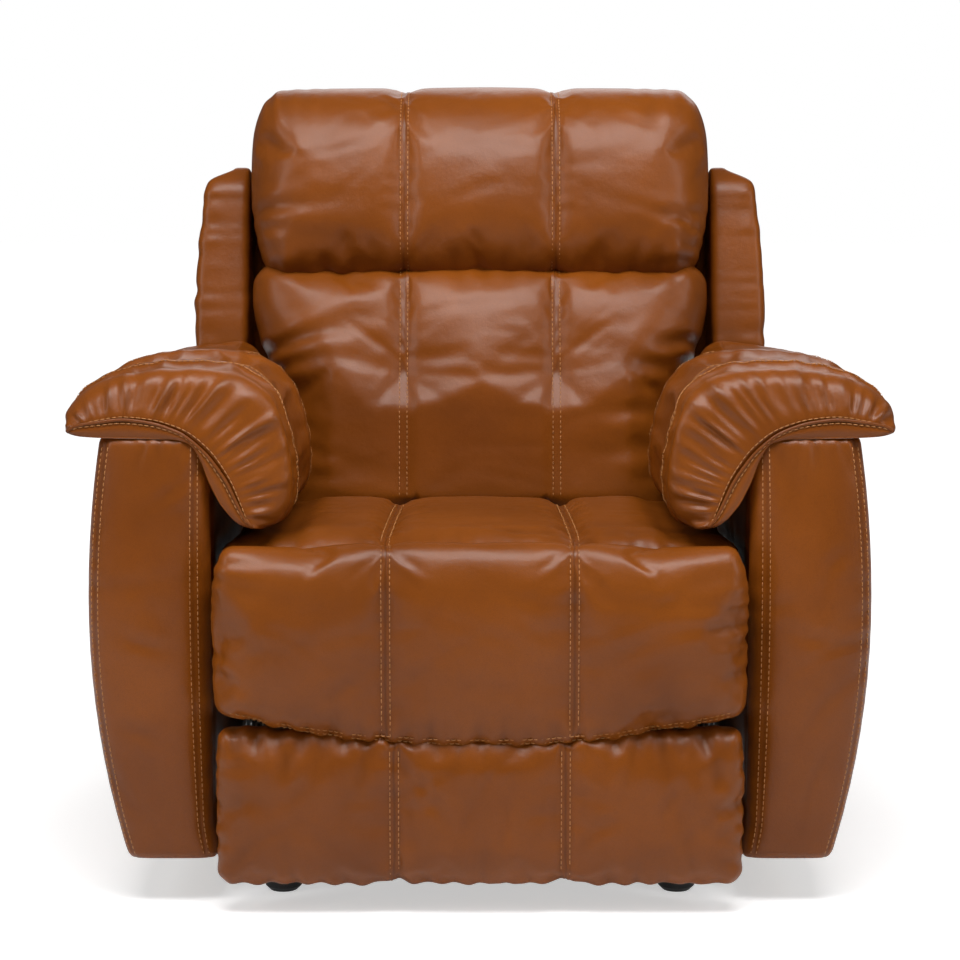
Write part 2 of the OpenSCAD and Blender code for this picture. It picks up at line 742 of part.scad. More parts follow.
// ---- back
back_rails = [[-20, 25], [lumbar_step_w + 30, lumbar_step_w + 70], [post_top_w - 45, post_top_w]];
module back_frame() {
    timber() on_back() difference() {
        union() {
            both_sides() block([post_x - post_t, post_u, -20], [post_x, post_u + post_d, post_top_w]);
            for (rail = back_rails)
                block([-post_x + post_t, post_u, rail[0]], [post_x - post_t, post_u + post_d, rail[1]]);
        }
        both_sides() for (w = back_bolt_ws) rod(back_bolt(w), post_x - 22, half_w, 3);
    }
}
function back_bolt(w) = [post_u + post_d / 2 + 4, w];
module back_plates() {
    x0 = layer(DRIVE);
    steel() on_back() both_sides() difference() {
        slab(x0, x0 + steel_t) polygon([[-14, -8], [-6, -16], [6, -16], [post_u + post_d, -8],
            [post_u + post_d, 180], [post_u + 1, 180], [post_u + 1, lumbar_w0 - 1], [-4, 16], [-14, 10]]);
        rod([0, 0], 0, half_w, rivet_r + rivet_fit);
        for (w = back_bolt_ws) rod(back_bolt(w), 0, half_w, 3);
    }
}
module back_bolts() {
    zinc() on_back() both_sides() for (w = back_bolt_ws) {
        rod(back_bolt(w), post_x - 22, post_x + steel_t, 3);
        rod(back_bolt(w), post_x + steel_t, post_x + steel_t + 3, 6);
    }
}
module back_webbing() {
    strap_w = 50;
    half = post_x - 12;
    webbing() on_back() for (w = [60:82:pillow_top_w - 30])
        block([-half, post_u - 3, w], [half, post_u, w + strap_w]);
}
module lumbar_cushion() {
    leather() on_back() {
        block([-lumbar_low_half, lumbar_u, lumbar_w0], [lumbar_low_half, pad_u, lumbar_step_w]);
        block([-lumbar_half, lumbar_u, lumbar_step_w], [lumbar_half, pad_u, pillow_w0 - seam_gap]);
    }
}
module head_pillow() {
    leather() on_back() {
        block([-pillow_half, pillow_u - pillow_r, pillow_w0], [pillow_half, pad_u, pillow_top_w]);
        intersection() {
            rod([pillow_u, pillow_top_w], -pillow_half, pillow_half, pillow_r);
            block([-pillow_half, pillow_u - pillow_r, pillow_top_w],
                [pillow_half, pad_u, pillow_top_w + pillow_r]);
        }
    }
}
module back_wing(side) {
    leather() on_back() on_side(side) translate([0, 0, wing_w0]) linear_extrude(wing_w1 - wing_w0)
        polygon([[post_x, wing_root_u], [post_x, shell_u], [wing_out, shell_u],
            [wing_out, wing_front_u + 24], [wing_out - 24, wing_front_u],
            [wing_in, wing_front_u], [wing_in, wing_root_u]]);
}
module outer_back() {
    low = shell_foot_w;
    narrow = shell_foot_x;
    leather() on_back() {
        sheet(shell_u, shell_u + shell_t) polygon([[-narrow, low], [narrow, low], [narrow, shell_step_w],
            [shell_side_x, shell_step_w], [shell_side_x, wing_w0], [wing_out, wing_w0],
            [wing_out, wing_w1 - 30], [wing_out - shell_corner, wing_w1], [pillow_half, wing_w1 + 20],
            [pillow_half, shell_top_w - shell_corner], [pillow_half - shell_corner, shell_top_w],
            [shell_corner - pillow_half, shell_top_w], [-pillow_half, shell_top_w - shell_corner],
            [-pillow_half, wing_w1 + 20], [shell_corner - wing_out, wing_w1],
            [-wing_out, wing_w1 - 30], [-wing_out, wing_w0], [-shell_side_x, wing_w0],
            [-shell_side_x, shell_step_w], [-narrow, shell_step_w]]);
        both_sides() {
            block([shell_side_x - shell_t, post_u + 5, shell_step_w],
                [shell_side_x, shell_u, wing_w0 - 0.5]);
            block([pillow_half - shell_t, post_u + 5, wing_w1 + 1],
                [pillow_half, shell_u, shell_top_w - shell_corner]);
        }
        block([shell_corner - pillow_half, post_u + post_d + 1, shell_top_w - shell_t],
            [pillow_half - shell_corner, shell_u + shell_t, shell_top_w]);
    }
}

base_cross_tube(tube_front_y);  // base_cross_tube_front
base_cross_tube(tube_rear_y);  // base_cross_tube_rear
base_runners();
glides();
glide_screws();
base_side_plate(1);  // base_side_plate_left
base_side_plate(-1);  // base_side_plate_right
base_rivets();
arm_bolts();
arm_frame(1);  // arm_frame_left
arm_frame(-1);  // arm_frame_right
arm_outer_side(1);  // arm_outer_side_left
arm_outer_side(-1);  // arm_outer_side_right
arm_inner_side(1);  // arm_inner_side_left
arm_inner_side(-1);  // arm_inner_side_right
arm_front(1);  // arm_front_left
arm_front(-1);  // arm_front_right
arm_pad(1);  // arm_pad_left
arm_pad(-1);  // arm_pad_right
rear_apron();
release_cup();
release_pin();
release_cable();
release_lever();
release_catch();
swing_links(swing_front_y);  // swing_links_front
swing_links(swing_rear_y);  // swing_links_rear
seat_plate(1);  // seat_plate_left
seat_plate(-1);  // seat_plate_right
seat_rivets();
seat_side_rails();
seat_front_rail();
seat_rear_rail();
seat_springs();
spring_clips();
seat_bolts();
seat_cushion();
front_roll();
leg_links_drive();
leg_rivets_drive();
leg_torque_tube();
leg_links_cross();
leg_rivets_cross();
leg_links_outer_cross();
leg_rivets_outer_cross();
leg_links_outer();
leg_rivets_outer();
leg_rest_brackets();
leg_rest_board();
leg_rest_bolts();
leg_rest_pad();
back_frame();
back_plates();
back_bolts();
back_webbing();
lumbar_cushion();
head_pillow();
back_wing(1);  // back_wing_left
back_wing(-1);  // back_wing_right
outer_back();
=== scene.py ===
"""Leather recliner armchair: soft pieces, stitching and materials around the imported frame."""
import json
import math

import bpy
import numpy as np
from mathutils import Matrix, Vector
from mathutils.bvhtree import BVHTree


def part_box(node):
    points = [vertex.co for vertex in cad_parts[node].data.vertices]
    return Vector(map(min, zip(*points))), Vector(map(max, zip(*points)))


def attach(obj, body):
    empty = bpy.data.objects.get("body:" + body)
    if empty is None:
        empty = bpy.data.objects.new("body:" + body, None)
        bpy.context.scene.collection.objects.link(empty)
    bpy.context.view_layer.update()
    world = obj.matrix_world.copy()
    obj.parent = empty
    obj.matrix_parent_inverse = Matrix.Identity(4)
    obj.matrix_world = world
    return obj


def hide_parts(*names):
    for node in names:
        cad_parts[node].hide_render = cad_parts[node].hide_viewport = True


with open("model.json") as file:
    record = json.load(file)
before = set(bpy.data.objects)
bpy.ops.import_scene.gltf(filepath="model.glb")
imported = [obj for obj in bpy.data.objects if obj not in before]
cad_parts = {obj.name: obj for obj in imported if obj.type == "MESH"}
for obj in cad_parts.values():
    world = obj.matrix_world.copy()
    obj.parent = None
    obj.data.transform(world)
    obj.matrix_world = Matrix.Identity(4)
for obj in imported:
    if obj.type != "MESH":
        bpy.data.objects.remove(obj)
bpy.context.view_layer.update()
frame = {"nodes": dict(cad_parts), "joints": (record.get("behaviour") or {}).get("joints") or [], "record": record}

MM = 0.001
SIDES = {"left": 1, "right": -1}
PIVOT = {j["name"]: j["pos_m"] for j in frame["joints"]}["back_recline"]
LEAN = math.radians(14)                # lean of the back at rest
BACK_SEAM = 0.1115                     # half distance between the two long seams
STITCH_GAP = 0.0055                    # a stitched line's distance from its seam
FOLD_SHADE = 90                        # darkening per metre of a cushion fold's depth
WING_SHADE = 80
PANEL_SHADE = 60
CELL = 0.0075                          # usual width of a cell of the leather
FAR = 9.0                              # a place that no seam or fold reaches


# ---------------------------------------------------------------- materials
def node_material(name):
    mat = bpy.data.materials.new(name)
    mat.use_nodes = True
    nodes = mat.node_tree.nodes
    nodes.clear()
    out = nodes.new("ShaderNodeOutputMaterial")
    shader = nodes.new("ShaderNodeBsdfPrincipled")
    mat.node_tree.links.new(shader.outputs[0], out.inputs[0])
    return mat, mat.node_tree, shader


def add(tree, kind, links=None, **values):
    """A node of that kind, its sockets set from values and linked from links."""
    node = tree.nodes.new("ShaderNode" + kind)
    for key, value in values.items():
        if hasattr(node, key):
            setattr(node, key, value)
        else:
            node.inputs[key.replace("_", " ")].default_value = value
    for key, socket in (links or {}).items():
        tree.links.new(socket, node.inputs[key])
    return node


def ramp(tree, socket, stops):
    node = tree.nodes.new("ShaderNodeValToRGB")
    tree.links.new(socket, node.inputs[0])
    elements = node.color_ramp.elements
    while len(elements) < len(stops):
        elements.new(0.5)
    for element, (place, colour) in zip(elements, stops):
        element.position = place
        element.color = (*colour, 1) if len(colour) == 3 else colour
    return node


def grey(v):
    return (v, v, v)


def leather_material():
    mat, tree, shader = node_material("caramel_leather")
    place = add(tree, "TexCoord").outputs["Object"]
    cloud = add(tree, "TexNoise", {"Vector": place}, Scale=4.5, Detail=4.0, Roughness=0.55)
    tone = ramp(tree, cloud.outputs["Fac"], [
        (0.30, (0.156, 0.038, 0.0026)), (0.52, (0.200, 0.050, 0.0034)), (0.74, (0.246, 0.063, 0.0048))])
    grain = add(tree, "TexVoronoi", {"Vector": place}, Scale=620.0, feature="DISTANCE_TO_EDGE")
    pores = ramp(tree, grain.outputs["Distance"], [(0.0, grey(0.0)), (0.22, grey(1.0))])
    pebble = add(tree, "TexNoise", {"Vector": place}, Scale=210.0, Detail=3.0, Roughness=0.6)
    fold = add(tree, "TexNoise", {"Vector": place}, Scale=38.0, Detail=3.0, Roughness=0.5)
    # Painted shade: a per-point attribute darkens the leather towards the dark brown below in seam grooves and
    # fold valleys, and darkens the piping by a fixed amount
    shade_and_tone = add(tree, "Attribute", attribute_name="shade_and_tone")
    dark = add(tree, "MixRGB", {"Fac": shade_and_tone.outputs["Fac"], "Color1": tone.outputs[0]},
               Color2=(0.060, 0.015, 0.002, 1))
    tint = add(tree, "MixRGB", {"Fac": pores.outputs[0], "Color2": dark.outputs[0]},
               Color1=(0.10, 0.027, 0.0032, 1))
    soft = add(tree, "MixRGB", {"Color1": dark.outputs[0], "Color2": tint.outputs[0]}, Fac=0.35)
    tree.links.new(soft.outputs[0], shader.inputs["Base Color"])
    patch = add(tree, "TexNoise", {"Vector": place}, Scale=11.0, Detail=5.0, Roughness=0.6)
    gloss = add(tree, "MapRange", {"Value": patch.outputs["Fac"]}, From_Min=0.25, From_Max=0.75,
                To_Min=0.29, To_Max=0.40)
    tree.links.new(gloss.outputs[0], shader.inputs["Roughness"])
    shader.inputs["Specular IOR Level"].default_value = 0.22
    shader.inputs["Coat Weight"].default_value = 0.07
    shader.inputs["Coat Roughness"].default_value = 0.17
    bump = add(tree, "Bump", {"Height": fold.outputs["Fac"]}, Strength=0.22, Distance=0.0035)
    bump2 = add(tree, "Bump", {"Height": pebble.outputs["Fac"], "Normal": bump.outputs[0]},
                Strength=0.16, Distance=0.0009)
    bump3 = add(tree, "Bump", {"Height": pores.outputs[0], "Normal": bump2.outputs[0]},
                Strength=0.20, Distance=0.0003)
    tree.links.new(bump3.outputs[0], shader.inputs["Normal"])
    return mat


def thread_material():
    mat, tree, shader = node_material("thread")
    place = add(tree, "TexCoord").outputs["Object"]
    twist = add(tree, "TexNoise", {"Vector": place}, Scale=900.0, Detail=2.0)
    tone = ramp(tree, twist.outputs["Fac"], [(0.3, (0.30, 0.115, 0.028)), (0.7, (0.46, 0.20, 0.058))])
    tree.links.new(tone.outputs[0], shader.inputs["Base Color"])
    shader.inputs["Roughness"].default_value = 0.6
    return mat


def speckled(name, low, high, roughness, scale, metallic=0.0, bump=0.1, stretch=(1, 1, 1)):
    """A finish with a fine mottled tone and a slight surface bump."""
    mat, tree, shader = node_material(name)
    place = add(tree, "TexCoord").outputs["Object"]
    turned = add(tree, "Mapping", {"Vector": place}, Scale=stretch)
    noise = add(tree, "TexNoise", {"Vector": turned.outputs[0]}, Scale=scale, Detail=4.0, Roughness=0.6)
    tone = ramp(tree, noise.outputs["Fac"], [(0.3, low), (0.7, high)])
    tree.links.new(tone.outputs[0], shader.inputs["Base Color"])
    rough = add(tree, "MapRange", {"Value": noise.outputs["Fac"]}, To_Min=roughness - 0.06,
                To_Max=roughness + 0.06)
    tree.links.new(rough.outputs[0], shader.inputs["Roughness"])
    lift = add(tree, "Bump", {"Height": noise.outputs["Fac"]}, Strength=bump, Distance=0.0008)
    tree.links.new(lift.outputs[0], shader.inputs["Normal"])
    shader.inputs["Metallic"].default_value = metallic
    return mat


def webbing_material():
    mat, tree, shader = node_material("webbing")
    place = add(tree, "TexCoord").outputs["Object"]
    weave = add(tree, "TexWave", {"Vector": place}, Scale=300.0, Distortion=1.0, bands_direction="X")
    tone = ramp(tree, weave.outputs["Fac"], [(0.2, (0.02, 0.02, 0.022)), (0.8, (0.07, 0.07, 0.075))])
    tree.links.new(tone.outputs[0], shader.inputs["Base Color"])
    lift = add(tree, "Bump", {"Height": weave.outputs["Fac"]}, Strength=0.5, Distance=0.001)
    tree.links.new(lift.outputs[0], shader.inputs["Normal"])
    shader.inputs["Roughness"].default_value = 0.85
    return mat


LEATHER = leather_material()
THREAD = thread_material()
FINISHES = {
    "leather": LEATHER,
    "timber": speckled("pine", (0.42, 0.27, 0.13), (0.60, 0.42, 0.23), 0.6, 30, stretch=(1, 0.15, 0.15)),
    "steel": speckled("black_steel", (0.012, 0.012, 0.013), (0.03, 0.03, 0.032), 0.42, 120),
    "zinc": speckled("zinc_plate", (0.45, 0.46, 0.48), (0.62, 0.63, 0.66), 0.32, 90, metallic=1.0),
    "plastic": speckled("black_plastic", (0.010, 0.010, 0.011), (0.022, 0.022, 0.024), 0.45, 400, bump=0.3),
    "spring_wire": speckled("spring_wire", (0.16, 0.16, 0.17), (0.28, 0.28, 0.30), 0.35, 80, metallic=1.0),
    "webbing": webbing_material(),
}


def finish_cad_nodes():
    for part in frame["record"]["subparts"]:
        mesh = frame["nodes"][part["node"]].data
        mesh.materials.clear()
        mesh.materials.append(FINISHES[part["material_slot"]])


# ---------------------------------------------------------------- mesh helpers
def make_object(name, points, faces, material=LEATHER, shade_and_tone=None):
    mesh = bpy.data.meshes.new(name)
    mesh.from_pydata(np.asarray(points, float).tolist(), [], faces)
    mesh.polygons.foreach_set("use_smooth", [True] * len(mesh.polygons))
    mesh.materials.append(material)
    mesh.update()
    obj = bpy.data.objects.new(name, mesh)
    bpy.context.scene.collection.objects.link(obj)
    if shade_and_tone is not None:
        set_shade_and_tone(obj, shade_and_tone)
    return obj


def get_points(obj, field="co"):
    values = np.zeros(len(obj.data.vertices) * 3)
    obj.data.vertices.foreach_get(field, values)
    return values.reshape(-1, 3)


def set_points(obj, points):
    obj.data.vertices.foreach_set("co", np.asarray(points, float).ravel())
    obj.data.update()


def get_normals(obj):
    return get_points(obj, "normal")


def subdivide(obj):
    """Applies one level of smooth subdivision."""
    obj.modifiers.new("subdivide", "SUBSURF").levels = 1
    graph = bpy.context.evaluated_depsgraph_get()
    mesh = bpy.data.meshes.new_from_object(obj.evaluated_get(graph), preserve_all_data_layers=True,
                                           depsgraph=graph)
    obj.modifiers.clear()
    old, obj.data = obj.data, mesh
    bpy.data.meshes.remove(old)
    mesh.polygons.foreach_set("use_smooth", [True] * len(mesh.polygons))


def steps(low, high, step, near=(), spread=(0.0025, 0.0055, 0.0085, 0.013)):
    """Places from low to high, a step apart, with extra ones close to each place in near."""
    count = max(2, int(round((high - low) / step)))
    places = list(np.linspace(low, high, count + 1))
    for seam in near:
        reach = spread[-1] + step * 0.45
        places = [p for p in places if abs(p - seam) > reach or p in (low, high)]
        places += [seam] + [seam + s * d for d in spread for s in (-1, 1)]
    return np.array(sorted(places))


def round_box(points, low, high, near, far=None):
    """Rounds the edges of a box; near and far are the radii at each axis's low and high end."""
    low, high, near = (np.array(v, float) for v in (low, high, near))
    far = near if far is None else np.array(far, float)
    inner = np.clip(points, low + near, high - far)
    radii = np.where(points < inner, near, far)
    out = (points - inner) / radii
    length = np.linalg.norm(out, axis=1, keepdims=True)
    return np.where(length > 1e-9, inner + radii * out / np.maximum(length, 1e-9), points)


def bell(t, width):
    return np.exp(-(t / width) ** 2)


def banks(t, apart, width):
    """The two rises beside a fold."""
    return bell(t - apart, width) + bell(t + apart, width)


def smooth(t):
    t = np.clip(t, 0, 1)
    return t * t * (3 - 2 * t)


def leaned(points):
    """From the back's own frame (x, depth, height from the pivot) to the chair's frame."""
    x, u, w = np.asarray(points, float).T
    return np.stack([x, PIVOT[1] + u * math.cos(LEAN) + w * math.sin(LEAN),
                     PIVOT[2] - u * math.sin(LEAN) + w * math.cos(LEAN)], 1)


def pleats(along, away, places, depth, reach, width, seed):
    """Folds that start at an edge and die away from it. along and away are measured on the edge."""
    rng = np.random.default_rng(seed)
    away = np.maximum(away, 0)
    total = np.zeros_like(along)
    for place in places:
        slant = rng.uniform(-0.35, 0.35)
        long = reach * rng.uniform(0.6, 1.3)
        wide = width * rng.uniform(0.7, 1.3)
        high = depth * rng.uniform(0.6, 1.2)
        offset = along - place - slant * away
        grow = wide * (1 + 0.8 * away / long)
        total += high * np.exp(-(away / long) ** 1.5) * (0.55 * banks(offset, 2.2 * grow, grow)
                                                         - bell(offset, grow))
    return total


def end_pleats(x, along, away, places, depth, reach, width, seed):
    """The same pleats at both ends of a cushion, each end with its own seed."""
    return sum((x * s > 0) * pleats(along, away, places, depth, reach, width, seed + s) for s in (-1, 1))


def push(obj, amount):
    """Moves each point along its normal."""
    set_points(obj, get_points(obj) + get_normals(obj) * np.asarray(amount)[:, None])


# Stores each point's darkening for the leather material: painted shade in grooves and folds, or the piping's fixed
# darkening
def set_shade_and_tone(obj, values):
    mesh = obj.data
    layer = mesh.attributes.get("shade_and_tone") or mesh.attributes.new("shade_and_tone", "FLOAT", "POINT")
    layer.data.foreach_set("value", np.clip(values, 0, 1).astype(np.float32))


def seam_groove(obj, distance, depth=0.005):
    """A seam with a stitched line on each side: a wide valley, a raised strip and a fine join. Returns painted
    shade for the join and for the dents of the stitched lines.
    """
    d = np.abs(distance)
    push(obj, -depth * bell(d, 0.016) + 0.0012 * bell(d, 0.0075)
         - 0.0011 * bell(d - STITCH_GAP, 0.0016) - 0.0016 * bell(d, 0.0017))
    return 0.55 * bell(d, 0.0016) + 0.25 * bell(d - STITCH_GAP, 0.0015)


def dress(obj, fold, facing, seams, depth=0.005, darkest=0.35):
    """Folds and seams on an inflated cover, with painted shade in the seam grooves and, on the facing side, in the
    fold valleys. seams holds each point's distance from each seam.
    """
    push(obj, fold * facing)
    shade_and_tone = sum(seam_groove(obj, distance, depth) for distance in seams)
    set_shade_and_tone(obj, shade_and_tone + np.clip(-fold * FOLD_SHADE, 0, darkest) * facing)


# ---------------------------------------------------------------- cloth
CLOTH = {"quality": 5, "mass": 0.25, "tension_stiffness": 18, "compression_stiffness": 18,
         "shear_stiffness": 6, "bending_stiffness": 0.6, "use_pressure": True}
CLOTH_FRAMES = 16


def inflate(obj, pinned, pressure, shrink, cap):
    """Puffs a closed sheet with air, holding it where pinned is 1; no point moves more than cap."""
    start = get_points(obj)
    group = obj.vertex_groups.new(name="pinned")
    group.add(np.nonzero(pinned)[0].tolist(), 1.0, "REPLACE")
    modifier = obj.modifiers.new("cloth", "CLOTH")
    settings = modifier.settings
    for key, value in CLOTH.items():
        setattr(settings, key, value)
    settings.uniform_pressure_force = pressure
    settings.vertex_group_mass = group.name
    settings.shrink_min = shrink
    settings.effector_weights.gravity = 0
    modifier.collision_settings.use_collision = False
    modifier.point_cache.frame_start = 1
    modifier.point_cache.frame_end = CLOTH_FRAMES
    scene = bpy.context.scene
    for number in range(1, CLOTH_FRAMES + 1):
        scene.frame_set(number)
    move = get_points(obj.evaluated_get(bpy.context.evaluated_depsgraph_get())) - start
    length = np.linalg.norm(move, axis=1, keepdims=True)
    move *= np.minimum(1, cap / np.maximum(length, 1e-9))
    obj.modifiers.clear()
    obj.vertex_groups.clear()
    scene.frame_set(1)
    set_points(obj, start + move)


# ---------------------------------------------------------------- stitching
STITCH = {"length": 0.0062, "pitch": 0.0074, "radius": 0.00072}


def resample(path, pitch):
    path = np.asarray(path, float)
    run = np.concatenate([[0], np.cumsum(np.linalg.norm(np.diff(path, axis=0), axis=1))])
    at = np.linspace(0, run[-1], max(2, int(run[-1] / pitch)) + 1)
    return np.stack([np.interp(at, run, column) for column in path.T], 1)


def stitches(name, lines, body):
    """One thread piece from several lines of (points, normals); each stitch is a small bent loop."""
    sides, rings = 6, 5
    points, faces = [], []
    for path, normals in lines:
        if len(path) < 3:
            continue
        fine = resample(path, STITCH["pitch"])
        share, known = np.linspace(0, 1, len(fine)), np.linspace(0, 1, len(normals))
        up = np.stack([np.interp(share, known, column) for column in np.asarray(normals).T], 1)
        for i in range(len(fine) - 1):
            a, b = fine[i], fine[i + 1]
            way = (b - a) / max(np.linalg.norm(b - a), 1e-9)
            top = up[i] - way * np.dot(up[i], way)
            top /= max(np.linalg.norm(top), 1e-9)
            across = np.cross(way, top)
            half = STITCH["length"] / 2
            centre = (a + b) / 2
            base = len(points)
            for ring in range(rings):
                t = 2 * ring / (rings - 1) - 1
                girth = STITCH["radius"] * (0.45 + 0.55 * math.sqrt(max(0, 1 - t * t)))
                lift = STITCH["radius"] * (0.55 - 1.3 * t * t)
                for s in range(sides):
                    angle = 2 * math.pi * s / sides
                    points.append(centre + way * t * half + top * (lift + girth * math.sin(angle))
                                  + across * girth * math.cos(angle))
            for ring in range(rings - 1):
                for s in range(sides):
                    n = (s + 1) % sides
                    faces.append([base + ring * sides + s, base + ring * sides + n,
                                  base + (ring + 1) * sides + n, base + (ring + 1) * sides + s])
            faces.append([base + s for s in range(sides)][::-1])
            faces.append([base + (rings - 1) * sides + s for s in range(sides)])
    settle(make_object(name, points, faces, THREAD), body, None)


def surface(obj):
    return BVHTree.FromPolygons(get_points(obj).tolist(), [tuple(p.vertices) for p in obj.data.polygons])


def project(tree, starts, ways):
    """Points and normals where rays from starts meet the surface; misses are left out."""
    points, normals = [], []
    for start, way in zip(starts, ways):
        hit, normal, _, _ = tree.ray_cast(Vector(start), Vector(way), 0.5)
        if hit is not None:
            points.append(np.array(hit))
            normals.append(np.array(-normal if normal.dot(Vector(way)) > 0 else normal))
    return points, normals


def rays(starts, way):
    return starts, [way] * len(starts)


def back_rays(starts, ways):
    """Rays given in the back's own frame."""
    return leaned(starts), leaned(ways) - leaned([(0, 0, 0)])


def hem_stitches(name, obj, rows, way, body="base"):
    """Single rows of stitches, one through each list of starts."""
    tree = surface(obj)
    stitches(name, [project(tree, *rays(starts, way)) for starts in rows], body)


def settle(obj, body, node):
    """Parents a piece to its body's empty, and hides the CAD node that it stands for, if any."""
    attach(obj, body)
    if node:
        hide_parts(node)


def welt(name, path, radius, body):
    """A piped edge: a round tube along a path, closed at both ends."""
    sides = 10
    path = np.asarray(path, float)
    way = np.gradient(path, axis=0)
    way /= np.maximum(np.linalg.norm(way, axis=1, keepdims=True), 1e-9)
    points, faces = [], []
    up = np.array([0.0, -1.0, 0.0])
    for at, along in zip(path, way):
        top = up - along * np.dot(up, along)
        if np.linalg.norm(top) < 1e-3:
            top = np.array([0.0, 0.0, 1.0]) - along * along[2]
        top /= np.linalg.norm(top)
        across = np.cross(along, top)
        for s in range(sides):
            angle = 2 * math.pi * s / sides
            points.append(at + radius * (top * math.sin(angle) + across * math.cos(angle)))
    for i in range(len(path) - 1):
        for s in range(sides):
            n = (s + 1) % sides
            faces.append([i * sides + s, (i + 1) * sides + s, (i + 1) * sides + n, i * sides + n])
    faces.append(list(range(sides)))
    faces.append([(len(path) - 1) * sides + s for s in range(sides)][::-1])
    # the same darkening is set to a fixed 0.3 over the whole piping
    settle(make_object(name, points, faces, shade_and_tone=np.full(len(points), 0.3)), body, None)


# ---------------------------------------------------------------- surfaces from cells
def skin(xs, ys, zs, filled=None):
    """The outside of the filled cells of a grid through those places, as merged points and quads."""
    shape = (len(xs) - 1, len(ys) - 1, len(zs) - 1)
    grid = np.zeros([n + 2 for n in shape], bool)
    grid[1:-1, 1:-1, 1:-1] = True if filled is None else filled
    quads = []
    around = {0: ((0, 0, 0), (0, 1, 0), (0, 1, 1), (0, 0, 1)),
              1: ((0, 0, 0), (0, 0, 1), (1, 0, 1), (1, 0, 0)),
              2: ((0, 0, 0), (1, 0, 0), (1, 1, 0), (0, 1, 0))}
    for axis in range(3):
        low = np.moveaxis(grid, axis, 0)[:-1]
        high = np.moveaxis(grid, axis, 0)[1:]
        for flag, order in ((low & ~high, 1), (high & ~low, -1)):
            cells = np.argwhere(np.moveaxis(flag, 0, axis))
            others = [a for a in range(3) if a != axis]
            cells[:, others] -= 1
            quads += [[tuple(c + np.array(s)) for s in around[axis]][::order] for c in cells]
    flat = np.array(quads).reshape(-1, 3)
    corners, back = np.unique(flat, axis=0, return_inverse=True)
    points = np.stack([np.asarray(xs)[corners[:, 0]], np.asarray(ys)[corners[:, 1]],
                       np.asarray(zs)[corners[:, 2]]], 1)
    return points, back.reshape(-1, 4).tolist()


def relax(points, faces, rounds, hold):
    """Evens out a surface; hold is 1 where a point stays."""
    faces = np.asarray(faces)
    a, b = np.concatenate([faces[:, [i, (i + 1) % 4]] for i in range(4)]).T
    count = np.bincount(a, minlength=len(points)) + np.bincount(b, minlength=len(points))
    for _ in range(rounds):
        total = np.zeros_like(points)
        np.add.at(total, a, points[b])
        np.add.at(total, b, points[a])
        points = points + 0.5 * (1 - hold)[:, None] * (total / count[:, None] - points)
    return points


def wrinkles(a, b, seed, count, area, long, wide, high, tilt=0.0, spread=0.6, bend=4.0):
    """Random long soft folds over a surface measured by a and b."""
    rng = np.random.default_rng(seed)
    total = np.zeros(len(a))
    for _ in range(count):
        ca, cb = rng.uniform(area[0], area[1]), rng.uniform(area[2], area[3])
        angle = tilt + rng.normal(0, spread)
        da, db = a - ca, b - cb
        t = da * math.cos(angle) + db * math.sin(angle)
        v = db * math.cos(angle) - da * math.sin(angle) + rng.uniform(-bend, bend) * t * t
        reach, width = long * rng.uniform(.5, 1.4), wide * rng.uniform(.6, 1.4)
        depth = high * rng.uniform(.4, 1.2)
        total += depth * bell(t, reach) * (0.55 * banks(v, 1.9 * width, 1.3 * width) - bell(v, width))
    return total


def panel_wrinkles(x, b, seed, count, centre, half, area, *look):
    """Wrinkles in the three panels between the long seams; area is (reach in x, low b, high b)."""
    reach, b0, b1 = area
    total = 0
    for s in (-1, 0, 1):
        inside = np.abs(x - s * centre) < half
        spot = (s * centre - reach, s * centre + reach, b0, b1)
        total = total + inside * wrinkles(x, b, seed + s, count, spot, *look)
    return total


def node_points(node):
    return get_points(frame["nodes"][node])


def node_box(node):
    low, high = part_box(node)
    return np.array(low), np.array(high)


def back_local(points):
    """From the chair's frame to the back's own frame."""
    x, y, z = (np.asarray(points, float) - np.array([0, PIVOT[1], PIVOT[2]])).T
    return np.stack([x, y * math.cos(LEAN) - z * math.sin(LEAN), y * math.sin(LEAN) + z * math.cos(LEAN)], 1)


def back_box(node):
    local = back_local(node_points(node))
    return local.min(0), local.max(0)


def crown(t, power=2.0):
    """1 in the middle of a span and 0 at its ends, for t from -1 to 1."""
    return 1 - np.abs(np.clip(t, -1, 1)) ** power


def seam_pins(across, seams, back):
    """Where cloth is held: the seams, and the face that rests on the frame."""
    pinned = back * 1.0
    for seam in seams:
        pinned = np.maximum(pinned, np.abs(across - seam) < 0.0012)
    return pinned


def double_stitch(name, obj, body, paths, gap=STITCH_GAP):
    """Two rows of stitches beside each seam. paths gives (starts, directions) for an offset."""
    tree = surface(obj)
    lines = [project(tree, *path(side)) for path in paths for side in (-gap, gap)]
    stitches(name, [(smooth_line(points), smooth_line(normals)) for points, normals in lines
                    if len(points) > 4], body)


def smooth_line(points, rounds=2):
    points = np.array(points)
    for _ in range(rounds):
        points[1:-1] = 0.25 * points[:-2] + 0.5 * points[1:-1] + 0.25 * points[2:]
    return points


